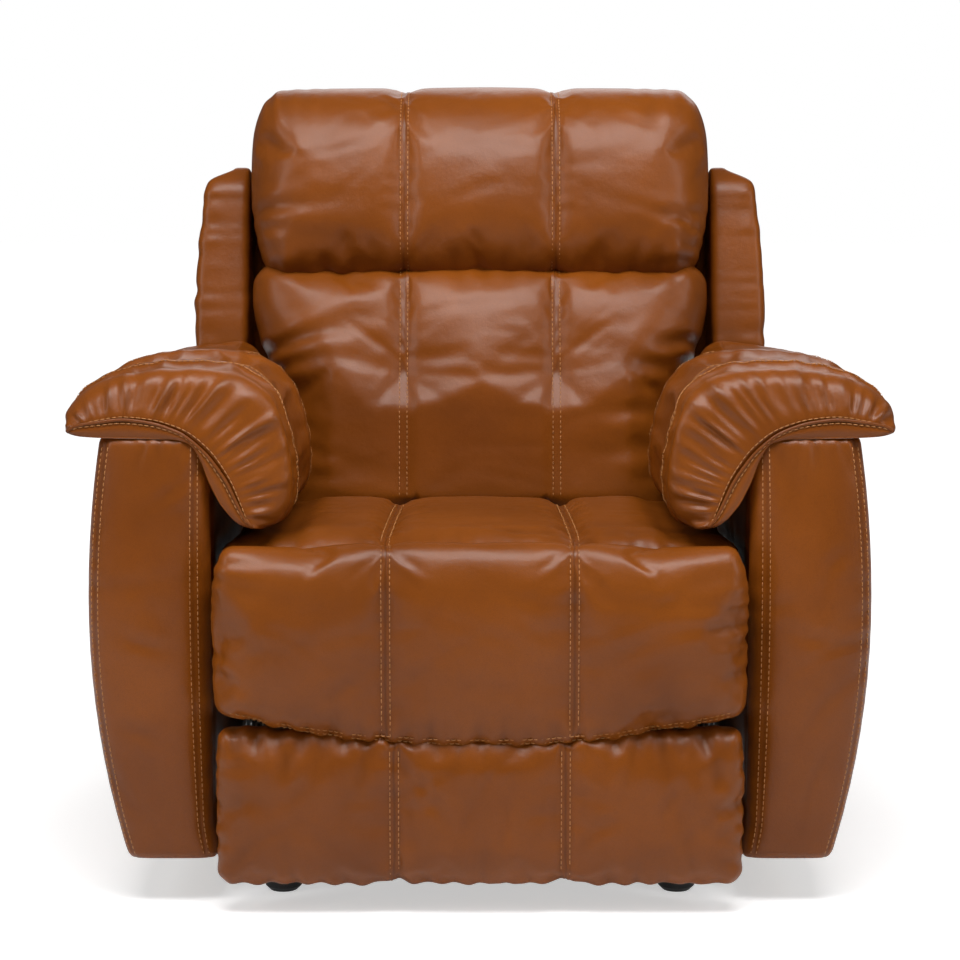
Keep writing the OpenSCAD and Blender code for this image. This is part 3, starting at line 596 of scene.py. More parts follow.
# ---------------------------------------------------------------- back cushions
def head_pillow():
    low, high = back_box("head_pillow")
    half = high[0]
    lo = np.array([-half + 0.006, low[1] + 0.018, low[2] - 0.014])
    hi = np.array([half - 0.006, high[1], high[2] - 0.004])
    seams = (-BACK_SEAM, BACK_SEAM)
    points, faces = skin(steps(lo[0], hi[0], CELL, seams), steps(lo[1], hi[1], 0.0085),
                         steps(lo[2], hi[2], CELL))
    x, u, w = round_box(points, lo, hi, (0.046, 0.075, 0.045), (0.046, 0.014, 0.078)).T
    rise = np.clip((w - lo[2]) / (hi[2] - lo[2]), 0, 1)
    x = x * (1 - 0.045 * (1 - smooth(rise / 0.42)))
    edge = crown(x / half, 4)
    front = smooth((hi[1] - u) / (hi[1] - lo[1]))
    u = u - 0.014 * front * np.sin(math.pi * np.clip(rise * 1.05, 0, 1)) * edge
    w = w - 0.010 * (1 - rise) * (1 - edge) + 0.004 * rise * edge
    w = w - 0.012 * (1 - smooth(rise / 0.3)) * front * edge
    obj = make_object("head_pillow_leather", leaned(np.stack([x, u, w], 1)), faces)
    inflate(obj, seam_pins(x, seams, u > hi[1] - 0.004), 3.4, -0.012, cap=0.024)
    lx, lu, lw = back_local(get_points(obj)).T
    away, top = half - np.abs(lx), high[2] - lw
    facing = smooth((0.01 - lu) / 0.05)
    fold = end_pleats(lx, lw, away - 0.012, low[2] + np.array([0.004, 0.024, 0.046, 0.074]),
                      0.0034, 0.085, 0.0060, 11)
    for s in (-1, 1):
        tucks = s * np.array([0.235, 0.262, 0.288, 0.312])
        fold += (lx * s > 0) * pleats(lx, top - 0.012, tucks, 0.0026, 0.06, 0.006, 16 + s)
    fold += panel_wrinkles(lx, lw, 31, 13, 0.215, 0.13, (0.09, low[2], high[2] - 0.03),
                           0.055, 0.007, 0.0006, 0.15, 0.5)
    fold += pleats(lx, lw - low[2] + 0.010, np.linspace(-0.30, 0.30, 17), 0.0018, 0.045, 0.007, 51)
    fold *= 0.35 + 0.65 * smooth((np.minimum(away, top) - 0.004) / 0.030)
    dress(obj, fold, facing, [lx - seam for seam in seams], 0.006)
    subdivide(obj)
    centre_u, centre_w = (low[1] + high[1]) / 2, high[2] - 0.085

    def path(seam):
        def at(offset):
            ways = [(0, math.cos(angle), -math.sin(angle)) for angle in np.arange(0, 1.75, 0.06)]
            rows = np.arange(low[2] - 0.012, centre_w, 0.006)
            starts = [(seam + offset, low[1] - 0.2, w) for w in rows]
            starts += [(seam + offset, centre_u - 0.3 * way[1], centre_w - 0.3 * way[2]) for way in ways]
            return back_rays(starts, [(0, 1, 0)] * len(rows) + ways)
        return at
    double_stitch("head_pillow_thread", obj, "back", [path(s) for s in seams])
    settle(obj, "back", "head_pillow")


def lumbar_cushion():
    low, high = back_box("lumbar_cushion")
    half_top, half_low = high[0] + 0.016, 0.298
    lo = np.array([-half_top, low[1] + 0.018, low[2]])
    hi = np.array([half_top, high[1], high[2] + 0.012])
    seams = (-BACK_SEAM, BACK_SEAM)
    points, faces = skin(steps(lo[0], hi[0], 0.008, seams), steps(lo[1], hi[1], 0.009),
                         steps(lo[2], hi[2], 0.008))
    x, u, w = round_box(points, lo, hi, (0.046, 0.070, 0.050), (0.046, 0.045, 0.036)).T
    narrow = (half_low - 0.004) / half_top
    x = x * (narrow + (0.995 - narrow) * smooth((w - 0.235) / 0.17))
    rise = np.clip((w - lo[2]) / (hi[2] - lo[2]), 0, 1)
    front = smooth((hi[1] - u) / (hi[1] - lo[1]))
    u = u - 0.020 * front * crown(x / half_low, 3) * bell(rise - 0.62, 0.26)
    u = u + 0.004 * front * smooth((rise - 0.82) / 0.18)
    obj = make_object("lumbar_leather", leaned(np.stack([x, u, w], 1)), faces)
    inflate(obj, seam_pins(x, seams, u > hi[1] - 0.004), 3.2, -0.012, cap=0.022)
    lx, lu, lw = back_local(get_points(obj)).T
    facing = smooth((0.01 - lu) / 0.05)
    away = half_low + 0.012 - np.abs(lx)
    fold = np.zeros(len(lx))
    for s in (-1, 1):
        places = np.linspace(0.13, 0.33, 8) + 0.006 * s
        fold += (lx * s > 0) * pleats(lw, away - 0.008, places, 0.0038, 0.085, 0.0065, 60 + s)
    fold += pleats(lx, high[2] + 0.012 - lw, np.linspace(-0.29, 0.29, 15), 0.0018, 0.045, 0.007, 71)
    fold += panel_wrinkles(lx, lw, 80, 15, 0.21, 0.13, (0.09, 0.12, high[2]),
                           0.06, 0.007, 0.0006, 0.1, 0.5)
    dress(obj, fold, facing, [lx - seam for seam in seams], 0.006)
    subdivide(obj)

    def path(seam):
        rows = np.arange(0.10, high[2] + 0.004, 0.006)
        return lambda offset: back_rays(*rays([(seam + offset, low[1] - 0.2, w) for w in rows], (0, 1, 0)))
    double_stitch("lumbar_thread", obj, "back", [path(s) for s in seams])
    settle(obj, "back", "lumbar_cushion")


# ---------------------------------------------------------------- seat
SEAT_SEAM_REAR, SEAT_SEAM_FRONT = 0.113, 0.123


def seat_seam(y, side):
    share = np.clip(-np.asarray(y) / 0.4, 0, 1)
    return side * (SEAT_SEAM_REAR + (SEAT_SEAM_FRONT - SEAT_SEAM_REAR) * share)


def seat_cushion():
    low, high = node_box("seat_cushion")
    lo = low + np.array([0.003, 0.002, 0])
    hi = high - np.array([0.003, 0.002, 0.006])
    seams = (-SEAT_SEAM_REAR, SEAT_SEAM_REAR)
    points, faces = skin(steps(lo[0], hi[0], CELL, seams), steps(lo[1], hi[1], CELL),
                         steps(lo[2], hi[2], 0.0085))
    flat_x, y, z = round_box(points, lo, hi, (0.040, 0.045, 0.036)).T
    x = flat_x * (1 + (SEAT_SEAM_FRONT / SEAT_SEAM_REAR - 1) * np.clip(-y / 0.4, 0, 1)
                  * crown(flat_x / hi[0], 4))
    up = smooth((z - lo[2]) / (hi[2] - lo[2]))
    z = z + 0.006 * up * crown(x / hi[0]) * crown((y + 0.19) / 0.21)
    obj = make_object("seat_leather", np.stack([x, y, z], 1), faces)
    inflate(obj, seam_pins(flat_x, seams, z < lo[2] + 0.004), 2.2, -0.016, cap=0.012)
    x, y, z = get_points(obj).T
    fold = panel_wrinkles(x, y, 100, 16, 0.225, 0.135, (0.10, -0.38, 0.0), 0.06, 0.007, 0.0026, 0.0, 0.55)
    fold += pleats(x, y - low[1], np.linspace(-0.31, 0.31, 19), 0.0032, 0.05, 0.0075, 131)
    fold += end_pleats(x, y, high[0] - np.abs(x), np.linspace(-0.37, -0.02, 13), 0.003, 0.06, 0.007, 120)
    dress(obj, fold, smooth((z - 0.43) / 0.03), [x - seat_seam(y, s) for s in (-1, 1)])
    points = get_points(obj)
    under_pad = smooth((np.abs(points[:, 0]) - 0.215) / 0.03)
    knee = high[2] + 0.005 - 0.010 * under_pad
    over = points[:, 2] - knee
    points[:, 2] = np.where(over > 0, knee + 0.004 * (1 - np.exp(-over / 0.004)), points[:, 2])
    set_points(obj, points)
    subdivide(obj)

    def path(side):
        rows = np.arange(high[1] - 0.02, low[1] + 0.008, -0.006)
        return lambda offset: rays([(float(seat_seam(y, side)) + offset, y, high[2] + 0.2) for y in rows],
                                   (0, 0, -1))
    double_stitch("seat_thread", obj, "seat", [path(1), path(-1)])
    settle(obj, "seat", "seat_cushion")


def front_roll():
    low, high = node_box("front_roll")
    seam, hem_rise = 0.118, 0.041
    lo = np.array([low[0], low[1] + 0.008, low[2]])
    hi = np.array([high[0], high[1], high[2] + 0.004])
    points, faces = skin(steps(lo[0], hi[0], CELL, (-seam, seam)), steps(lo[1], hi[1], 0.008),
                         steps(lo[2], hi[2], CELL))
    x, y, z = round_box(points, lo, hi, (0.022, 0.030, 0.020), (0.022, 0.040, 0.056)).T
    flat_x = x
    drop = 1 - smooth((z - lo[2]) / 0.13)
    front = smooth((hi[1] - 0.030 - y) / 0.030)
    z = z - hem_rise * crown(x / hi[0], 2.2) * drop * front
    y = y + 0.005 * front * (1 - smooth((z - lo[2]) / 0.10))
    z = z + 0.006 * crown(x / hi[0], 3) * smooth((z - 0.42) / 0.04)
    obj = make_object("front_roll_leather", np.stack([x, y, z], 1), faces)
    inflate(obj, seam_pins(flat_x, (-seam, seam), y > hi[1] - 0.004), 3.2, -0.010, cap=0.018)
    x, y, z = get_points(obj).T
    away = high[0] - np.abs(x)
    fold = end_pleats(x, z, away - 0.010, np.linspace(low[2] + 0.06, high[2] - 0.015, 8),
                      0.0026, 0.06, 0.0065, 150)
    fold += panel_wrinkles(x, z, 160, 12, 0.225, 0.135, (0.10, 0.25, 0.45), 0.06, 0.008, 0.0009, 0.0, 0.4)
    fold += pleats(x, z - low[2] + 0.02, np.linspace(-0.31, 0.31, 21), 0.0030, 0.05, 0.008, 171)
    dress(obj, fold, smooth((high[1] - 0.008 - y) / 0.03), [x - s * seam for s in (-1, 1)])
    subdivide(obj)
    crest = high[2] - 0.055

    def path(side):
        def at(offset):
            across = side * seam + offset
            ways = [(0, math.cos(angle), -math.sin(angle)) for angle in np.arange(1.45, 0, -0.07)]
            starts = [(across, -0.43 - 0.2 * way[1], crest - 0.2 * way[2]) for way in ways]
            rows = np.arange(crest, low[2] - 0.024, -0.006)
            return starts + [(across, low[1] - 0.1, z) for z in rows], ways + [(0, 1, 0)] * len(rows)
        return at

    def hem(offset):
        height = low[2] + 0.013 + offset / 2
        return rays([(x, low[1] - 0.1, height - 0.040 * float(crown(x / high[0], 2.2)))
                     for x in np.arange(-0.315, 0.316, 0.006)], (0, 1, 0))
    double_stitch("front_roll_thread", obj, "seat", [path(1), path(-1), hem])
    settle(obj, "seat", "front_roll")


def leg_rest():
    low, high = node_box("leg_rest_pad")
    seam = 0.108
    lo = np.array([low[0] - 0.004, low[1] + 0.008, low[2] - 0.003])
    hi = np.array([high[0] + 0.004, high[1], high[2] + 0.013])
    points, faces = skin(steps(lo[0], hi[0], CELL, (-seam, seam)), steps(lo[1], hi[1], 0.008),
                         steps(lo[2], hi[2], CELL))
    points = round_box(points, lo, hi, (0.020, 0.032, 0.026), (0.020, 0.010, 0.026))
    obj = make_object("leg_rest_leather", points, faces)
    pins = seam_pins(points[:, 0], (-seam, seam), points[:, 1] > hi[1] - 0.004)
    inflate(obj, pins, 2.8, -0.016, cap=0.012)
    x, y, z = get_points(obj).T
    fold = end_pleats(x, z, high[0] - np.abs(x), np.linspace(low[2] + 0.030, high[2] - 0.012, 7),
                      0.0030, 0.05, 0.0065, 180)
    fold += panel_wrinkles(x, z, 190, 11, 0.215, 0.125, (0.10, 0.07, 0.21),
                           0.05, 0.007, 0.0018, math.pi / 2, 0.5)
    fold += pleats(x, high[2] - z, np.linspace(-0.31, 0.31, 23), 0.0032, 0.05, 0.007, 201)
    fold += pleats(x, z - low[2], np.linspace(-0.30, 0.30, 19), 0.0028, 0.04, 0.007, 202)
    dress(obj, fold, smooth((high[1] - 0.006 - y) / 0.02), [x - s * seam for s in (-1, 1)])
    subdivide(obj)

    def path(side):
        rows = np.arange(high[2] - 0.012, low[2] + 0.010, -0.006)
        return lambda offset: rays([(side * seam + offset, low[1] - 0.1, z) for z in rows], (0, 1, 0))
    double_stitch("leg_rest_thread", obj, "leg_rest", [path(1), path(-1)])
    settle(obj, "leg_rest", "leg_rest_pad")


# ---------------------------------------------------------------- arms
# Section of an arm pad, as (x, z) in millimetres: its cover, its underside, and the two seams of
# the front face, all from the outer edge round to the inner one or back.
PAD_TOP = [(525, 608), (529, 622), (524, 639), (508, 657), (482, 673), (445, 684), (405, 689), (365, 690),
           (330, 687), (300, 680), (276, 665), (258, 641), (247, 608), (240, 574), (238, 544), (242, 514),
           (254, 494), (273, 485)]
PAD_UNDER = [(273, 485), (292, 486), (311, 497), (328, 518), (342, 546), (351, 572), (362, 596), (385, 602),
             (430, 602), (480, 603), (510, 604), (525, 608)]
PAD_SEAM = [(519, 611), (515, 616), (507, 619), (496, 621), (474, 624), (452, 627), (430, 625), (407, 621),
            (390, 615), (374, 608), (362, 599), (351, 589), (342, 580), (334, 569), (326, 558), (318, 545),
            (306, 518), (297, 499), (287, 490)]
PAD_SEAM_UNDER = [(287, 490), (297, 490), (311, 499), (328, 520), (342, 548), (351, 574), (363, 596),
                  (385, 602), (430, 603), (480, 604), (506, 606), (519, 611)]


def loop_points(line, count):
    """Evenly spaced points along an outline of (x, z) in millimetres, slightly smoothed."""
    path = np.array([(x, 0, z) for x, z in line], float) * MM
    run = np.concatenate([[0], np.cumsum(np.linalg.norm(np.diff(path, axis=0), axis=1))])
    at = np.linspace(0, run[-1], count)
    return smooth_line(np.stack([np.interp(at, run, path[:, c]) for c in (0, 2)], 1), 3)


def gathers(along, away, seed):
    """The short deep tucks where the pad is gathered into its front seam."""
    rng = np.random.default_rng(seed)
    places = np.linspace(0.015, 0.55, 30) + rng.uniform(-0.006, 0.006, 30)
    total = np.zeros(len(along))
    for place in places:
        reach, wide = 0.021 * rng.uniform(.5, 1.7), 0.0042 * rng.uniform(.6, 1.5)
        high = rng.uniform(.4, 1.4)
        spread = wide * (1 + 0.8 * away / reach)
        offset = along - place - rng.uniform(-.3, .3) * away
        total += high * np.exp(-(away / reach) ** 1.6) * (0.6 * banks(offset, 2 * spread, spread)
                                                          - bell(offset, spread))
    return total


def arm_pad(side_name):
    side = SIDES[side_name]
    low, high = node_box("arm_pad_" + side_name)
    front, rear = low[1], high[1]
    count = 72
    full = np.concatenate([loop_points(PAD_TOP, count), loop_points(PAD_UNDER, count)[1:-1]])
    seam = np.concatenate([loop_points(PAD_SEAM, count), loop_points(PAD_SEAM_UNDER, count)[1:-1]])
    nose, heel = 0.050, 0.018
    seams_y = (-0.300, -0.100)
    turns = [math.pi / 2 * k / 9 for k in range(9)]
    rows = [(front + nose * (1 - math.cos(turn)), math.sin(turn), 0.0) for turn in turns]
    rows += [(y, 1.0, 0.0) for y in steps(front + nose, rear - heel, 0.008, seams_y)]
    turns = [math.pi / 2 * k / 8 for k in range(1, 8)]
    rows += [(rear - heel * (1 - math.sin(turn)), 1.0, 1 - math.cos(turn)) for turn in turns]
    points = []
    ring = len(full)
    s = np.concatenate([np.linspace(0, 1, count), np.linspace(1, 0, count)[1:-1]])
    heart = np.array([0.40, 0.640])
    for y, open_share, shut in rows:
        section = seam + (full - seam) * open_share
        section = section + (heart - section) * np.array([0.10, 0.45]) * shut
        narrow = smooth((y + 0.03) / 0.07)
        inner = np.clip((0.362 - section[:, 0]) / 0.124, 0, 1)
        x = section[:, 0] + narrow * inner * 0.066
        inward = smooth((s - 0.50) / 0.22)
        shear = -0.046 * inward * smooth((y - front) / (seams_y[0] - front)) \
            * (1 - smooth((y - seams_y[0]) / 0.17))
        points.append(np.stack([x, np.full(ring, y) + shear, section[:, 1]], 1))
    points = np.concatenate(points)
    faces = []
    for r in range(len(rows) - 1):
        for i in range(ring):
            n = (i + 1) % ring
            faces.append([r * ring + i, r * ring + n, (r + 1) * ring + n, (r + 1) * ring + i])

    def cap(row, bulge, flip):
        nonlocal points
        layers = 4
        top = np.arange(count) + row * ring
        under = np.array([row * ring] + [row * ring + ring - i for i in range(1, count - 1)]
                         + [row * ring + count - 1])
        lines = [top]
        for layer in range(1, layers):
            t = layer / layers
            mid = points[top[1:-1]] * (1 - t) + points[under[1:-1]] * t
            mid[:, 1] += bulge * math.sin(math.pi * t)
            ids = len(points) + np.arange(count - 2)
            points = np.concatenate([points, mid])
            lines.append(np.concatenate([[top[0]], ids, [top[-1]]]))
        lines.append(under)
        for a, b in zip(lines[:-1], lines[1:]):
            for i in range(count - 1):
                quad = [a[i], b[i], b[i + 1], a[i + 1]]
                quad = [int(q) for j, q in enumerate(quad) if q not in quad[:j]]
                if len(quad) > 2:
                    faces.append(quad[::-1] if flip else quad)
    cap(0, -0.003, True)
    cap(len(rows) - 1, 0.004, False)
    row_y = np.array([row[0] for row in rows])
    lip = ring * len(rows)
    rest = np.ones(len(points) - lip)
    under_share = np.concatenate([np.tile([0.0] * count + [1.0] * (count - 2), len(rows)), rest])
    along = np.concatenate([np.tile(s, len(rows)), rest * 0.5])
    line_y = np.concatenate([np.repeat(row_y, ring), rest * FAR])
    points[:, 0] *= side
    if side < 0:
        faces = [f[::-1] for f in faces]
    obj = make_object("arm_pad_leather_" + side_name, points, faces)
    pinned = np.maximum(under_share, (line_y < front + 0.001) * 1.0)
    for y in seams_y:
        pinned = np.maximum(pinned, np.abs(line_y - y) < 0.001)
    inflate(obj, pinned, 2.6, -0.006, cap=0.009)
    free = 1 - under_share
    girth = along * 0.56
    away = np.maximum(line_y - front, 0)
    fold = 0.0060 * gathers(girth, away, 300 + side) * smooth(away / 0.003)
    ends = (front + nose, *seams_y, rear)
    for number, (y0, y1) in enumerate(zip(ends, ends[1:])):
        inside = smooth((line_y - y0) / 0.01) * (1 - smooth((line_y - y1 + 0.01) / 0.01))
        fold += inside * wrinkles(girth, line_y, 320 + number + 10 * side, 12, (0.05, 0.55, y0, y1),
                                  0.055, 0.009, 0.0007, math.pi / 2, 0.7)
    for y0 in seams_y:
        fold += pleats(girth, np.abs(line_y - y0), np.linspace(0.06, 0.53, 17),
                       0.0007, 0.030, 0.007, 340 + side)
    dress(obj, fold, free, [np.where(free > 0.5, line_y - y0, 1.0) for y0 in seams_y], darkest=0.4)
    final, normals = get_points(obj), get_normals(obj)
    lines = []
    for line in (seams_y[0] - STITCH_GAP, seams_y[0] + STITCH_GAP, seams_y[1] + STITCH_GAP):
        first = int(np.argmin(np.abs(row_y - line))) * ring
        shown = slice(first + 2, first + count - 6)
        lines.append((final[shown], normals[shown]))
    facing = np.tile((0.0, -1.0, 0.0), (count - 4, 1))
    for other, share in ((final[ring + 2: ring + count - 2], 0.42), (final[lip + 1: lip + count - 3], 0.65)):
        line = final[2: count - 2] * (1 - share) + other * share
        lines.append((line + np.array([0, -0.0012, 0]), facing))
    subdivide(obj)
    stitches("arm_pad_thread_" + side_name, lines, "base")
    welt("arm_pad_piping_" + side_name, final[:count] + np.array([0, -0.0015, 0.0005]), 0.0024, "base")
    settle(obj, "base", "arm_pad_" + side_name)


# Shape of an arm's front: heights of its widest place, foot and top, its outer and inner side,
# and how far each side draws in towards the foot and the top.
ARM = {"belly": 0.380, "foot": 0.057, "top": 0.598, "out": 0.498, "in": 0.362,
       "tuck": 0.046, "top_tuck": 0.017, "in_tuck": 0.027}


# where the padded inner side stops short of the seat
CLEAR_OF_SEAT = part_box("seat_cushion")[1].x + 0.004


def below_belly(z):
    return np.clip((ARM["belly"] - z) / (ARM["belly"] - ARM["foot"]), 0, None)


def arm_outer(z):
    above = np.clip((z - ARM["belly"]) / (ARM["top"] - ARM["belly"]), 0, None)
    return ARM["out"] - ARM["tuck"] * below_belly(z) ** 2 - ARM["top_tuck"] * above ** 2


def arm_inner(z):
    return ARM["in"] - ARM["in_tuck"] * below_belly(z) ** 2


def arm_inside(z):
    """The padded inner side: it bulges in until it is just clear of the seat."""
    return np.minimum(arm_inner(z), CLEAR_OF_SEAT)


def arm_front(side_name):
    side = SIDES[side_name]
    low, high = node_box("arm_front_" + side_name)
    wide = ARM["out"] - CLEAR_OF_SEAT
    seams = (0.020, wide - 0.011)
    lo = np.array([0, low[1] - 0.006, low[2]])
    hi = np.array([wide + 0.0015, high[1], 0.608])
    points, faces = skin(steps(lo[0], hi[0], 0.007, seams), np.linspace(lo[1], hi[1], 5),
                         steps(lo[2], hi[2], 0.008))
    points = round_box(points, lo, hi, (0.026, 0.022, 0.006), (0.020, 0.003, 0.006))
    a, y, z = points.T
    front = smooth((hi[1] - y) / (hi[1] - lo[1]))
    seed = 400 + side
    bulge = 0.034 * crown((a - wide * 0.54) / (wide * 0.54), 2) * crown((z - 0.34) / 0.29, 2)
    fold = wrinkles(a, z, seed, 9, (0.02, wide - 0.02, 0.10, 0.55), 0.05, 0.008, 0.0014, 0.3, 0.6)
    fold += pleats(a, high[2] - z, np.linspace(0.01, wide - 0.01, 8), 0.003, 0.04, 0.006, seed)
    fold += pleats(z, a, np.linspace(0.10, 0.56, 14), 0.0014, 0.022, 0.007, seed + 3)
    fold += pleats(z, wide - a, np.linspace(0.10, 0.56, 14), 0.0014, 0.022, 0.007, seed + 5)
    groove = np.zeros(len(a))
    shade_and_tone = np.zeros(len(a))
    for seam in seams:
        groove += 0.0030 * bell(a - seam, 0.010) + 0.0016 * bell(a - seam, 0.0018) \
            - 0.0010 * bell(a - seam, 0.006)
        # painted shade along each seam's groove
        shade_and_tone += 0.5 * bell(a - seam, 0.0016)
    y = y - front * (bulge + fold - groove)
    x = arm_inside(z) + a * (arm_outer(z) - arm_inside(z)) / wide
    out = np.stack([x * side, y, z], 1)
    if side < 0:
        faces = [f[::-1] for f in faces]
    # painted shade in the seam grooves and fold valleys, on the front face only
    obj = make_object("arm_front_leather_" + side_name, out, faces,
                      shade_and_tone=(shade_and_tone + np.clip(-fold * FOLD_SHADE, 0, 0.3)) * front)
    subdivide(obj)

    def path(seam):
        def at(offset):
            rows = np.arange(low[2] + 0.008, high[2] - 0.004, 0.006)
            xs = arm_inside(rows) + (seam + offset) * (arm_outer(rows) - arm_inside(rows)) / wide
            return rays([(side * x, low[1] - 0.1, z) for x, z in zip(xs, rows)], (0, 1, 0))
        return at
    double_stitch("arm_front_thread_" + side_name, obj, "base", [path(s) for s in seams], 0.0045)
    settle(obj, "base", "arm_front_" + side_name)


def arm_top(y):
    """Top of the arm's side: level under the pad, then falling to the rear."""
    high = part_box("arm_outer_side_left")[1]
    pad_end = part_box("arm_pad_left")[1].y
    t = np.clip((y - pad_end) / (high.y - pad_end), 0, 1)
    return high.z - 0.150 * t


def around_hole(places, near, far):
    """Grid places with the hole's two edges among them and none too close to either."""
    kept = [p for p in places if min(abs(p - near), abs(p - far)) > 0.005]
    return np.array(sorted({*kept, near, far}))


def arm_side(side_name, where):
    """The leather over the arm's outer or inner side."""
    side = SIDES[side_name]
    node = f"arm_{where}_side_{side_name}"
    low, high = node_box(node)
    out = where == "outer"
    thick = 0.008
    lo = np.array([0.0, low[1], low[2]])
    hi = np.array([thick, high[1], high[2]])
    hole = None
    xs = np.array([0, thick / 2, thick])
    ys, zs = steps(lo[1], hi[1], 0.012), steps(lo[2], hi[2], 0.012)
    filled = None
    if out and side < 0:
        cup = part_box("release_cup")
        hole = (cup[0].y + 0.006, cup[1].y - 0.006, cup[0].z + 0.006, cup[1].z - 0.006)
        ys, zs = around_hole(ys, *hole[:2]), around_hole(zs, *hole[2:])
        mid_y, mid_z = (ys[1:] + ys[:-1]) / 2, (zs[1:] + zs[:-1]) / 2
        open_y = (mid_y > hole[0]) & (mid_y < hole[1])
        open_z = (mid_z > hole[2]) & (mid_z < hole[3])
        filled = np.ones((len(xs) - 1, len(ys) - 1, len(zs) - 1), bool)
        filled[:, open_y[:, None] & open_z[None]] = False
    points, faces = skin(xs, ys, zs, filled)
    x, y, z = points.T
    t = (z - lo[2]) / (hi[2] - lo[2])
    z = lo[2] + t * (arm_top(y) - lo[2])
    edge = np.minimum(np.minimum(y - lo[1], hi[1] - y), np.minimum(z - lo[2], arm_top(y) - z))
    outer_face = x / thick
    puff = 0.007 * smooth(edge / 0.07)
    seed = 500 + side + (10 if out else 0)
    fold = wrinkles(y, z, seed, 26, (lo[1], hi[1], lo[2], hi[2]), 0.09, 0.012, 0.0022, 0.5, 0.7, 2.0)
    tucks = np.linspace(lo[1] + 0.03, hi[1] - 0.03, 26)
    fold += pleats(y, z - lo[2], tucks, 0.0022, 0.05, 0.008, seed + 2)
    fold += pleats(y, arm_top(y) - z, tucks, 0.0026, 0.06, 0.008, seed + 3)
    if hole:
        apart = np.maximum(np.maximum(hole[0] - y, y - hole[1]), np.maximum(hole[2] - z, z - hole[3]))
        calm = smooth((apart - 0.016) / 0.05)
        puff, fold = puff * calm, fold * calm
    hem = 0.0016 * bell(z - lo[2] - 0.014, 0.0045)
    round_off = 0.004 * (1 - smooth(edge / 0.006)) * outer_face
    if out:
        x = arm_outer(z) - thick + x + (puff + fold - hem) * outer_face - round_off
    else:
        swell = outer_face * smooth(edge / 0.03) * (arm_inner(z) - arm_inside(z))
        x = arm_inner(z) + thick - x + round_off * 0.5 - swell
        x = np.maximum(x - np.minimum(fold, 0.002) * 0.5 * outer_face, np.minimum(arm_inside(z), x))
    if (side > 0) != out:
        faces = [f[::-1] for f in faces]
    # painted shade in the fold valleys
    obj = make_object(f"arm_{where}_leather_{side_name}", np.stack([x * side, y, z], 1), faces,
                      shade_and_tone=np.clip(-fold * PANEL_SHADE, 0, 0.3))
    subdivide(obj)
    if out:
        hem_stitches(f"arm_{where}_thread_{side_name}", obj, [
            [(side * 0.7, y, lo[2] + height) for y in np.arange(lo[1] + 0.004, hi[1] - 0.003, 0.008)]
            for height in (0.012, 0.019)], (-side, 0, 0))
    settle(obj, "base", node)


def arm_rear(side_name):
    """The leather over the slope behind the pad and down the arm's rear."""
    side = SIDES[side_name]
    low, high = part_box("arm_outer_side_" + side_name)
    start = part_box("arm_pad_" + side_name)[1].y - 0.012
    knee = 0.30
    path = [(0, start, high.z - 0.004), (0, knee, float(arm_top(knee)) - 0.002),
            (0, high.y - 0.004, float(arm_top(high.y)) - 0.004),
            (0, high.y - 0.002, 0.30), (0, high.y - 0.003, low.z + 0.001)]
    path = smooth_line(resample(path, 0.008), 2)
    across = np.linspace(0, 1, 13)
    points, faces = [], []
    for layer in (0.0, 0.006):
        for _, y, z in path:
            height = min(z, ARM["top"])
            inner, outer = float(arm_inner(height)) + 0.004, float(arm_outer(height)) - 0.004
            slope = 0.7 if y < high.y - 0.01 else 0.0
            for t in across:
                dome = 0.006 * float(crown(2 * t - 1, 2)) - layer
                points.append((side * (inner + t * (outer - inner)),
                               y + dome * (1 - slope * 0.4), z + dome * slope))
    rows, cols = len(path), len(across)
    for base, order in ((0, 1), (rows * cols, -1)):
        for i in range(rows - 1):
            for j in range(cols - 1):
                a, b = base + i * cols + j, base + (i + 1) * cols + j
                faces.append([a, b, b + 1, a + 1][::order])
    last = (rows - 1) * cols
    rim = [*range(cols), *range(2 * cols - 1, last + cols, cols), *range(last + cols - 2, last - 1, -1),
           *range(last - cols, 0, -cols)]
    for a, b in zip(rim, rim[1:] + rim[:1]):
        faces.append([b + rows * cols, a + rows * cols, a, b])
    if side > 0:
        faces = [f[::-1] for f in faces]
    obj = make_object("arm_rear_leather_" + side_name, points, faces)
    subdivide(obj)
    settle(obj, "base", None)


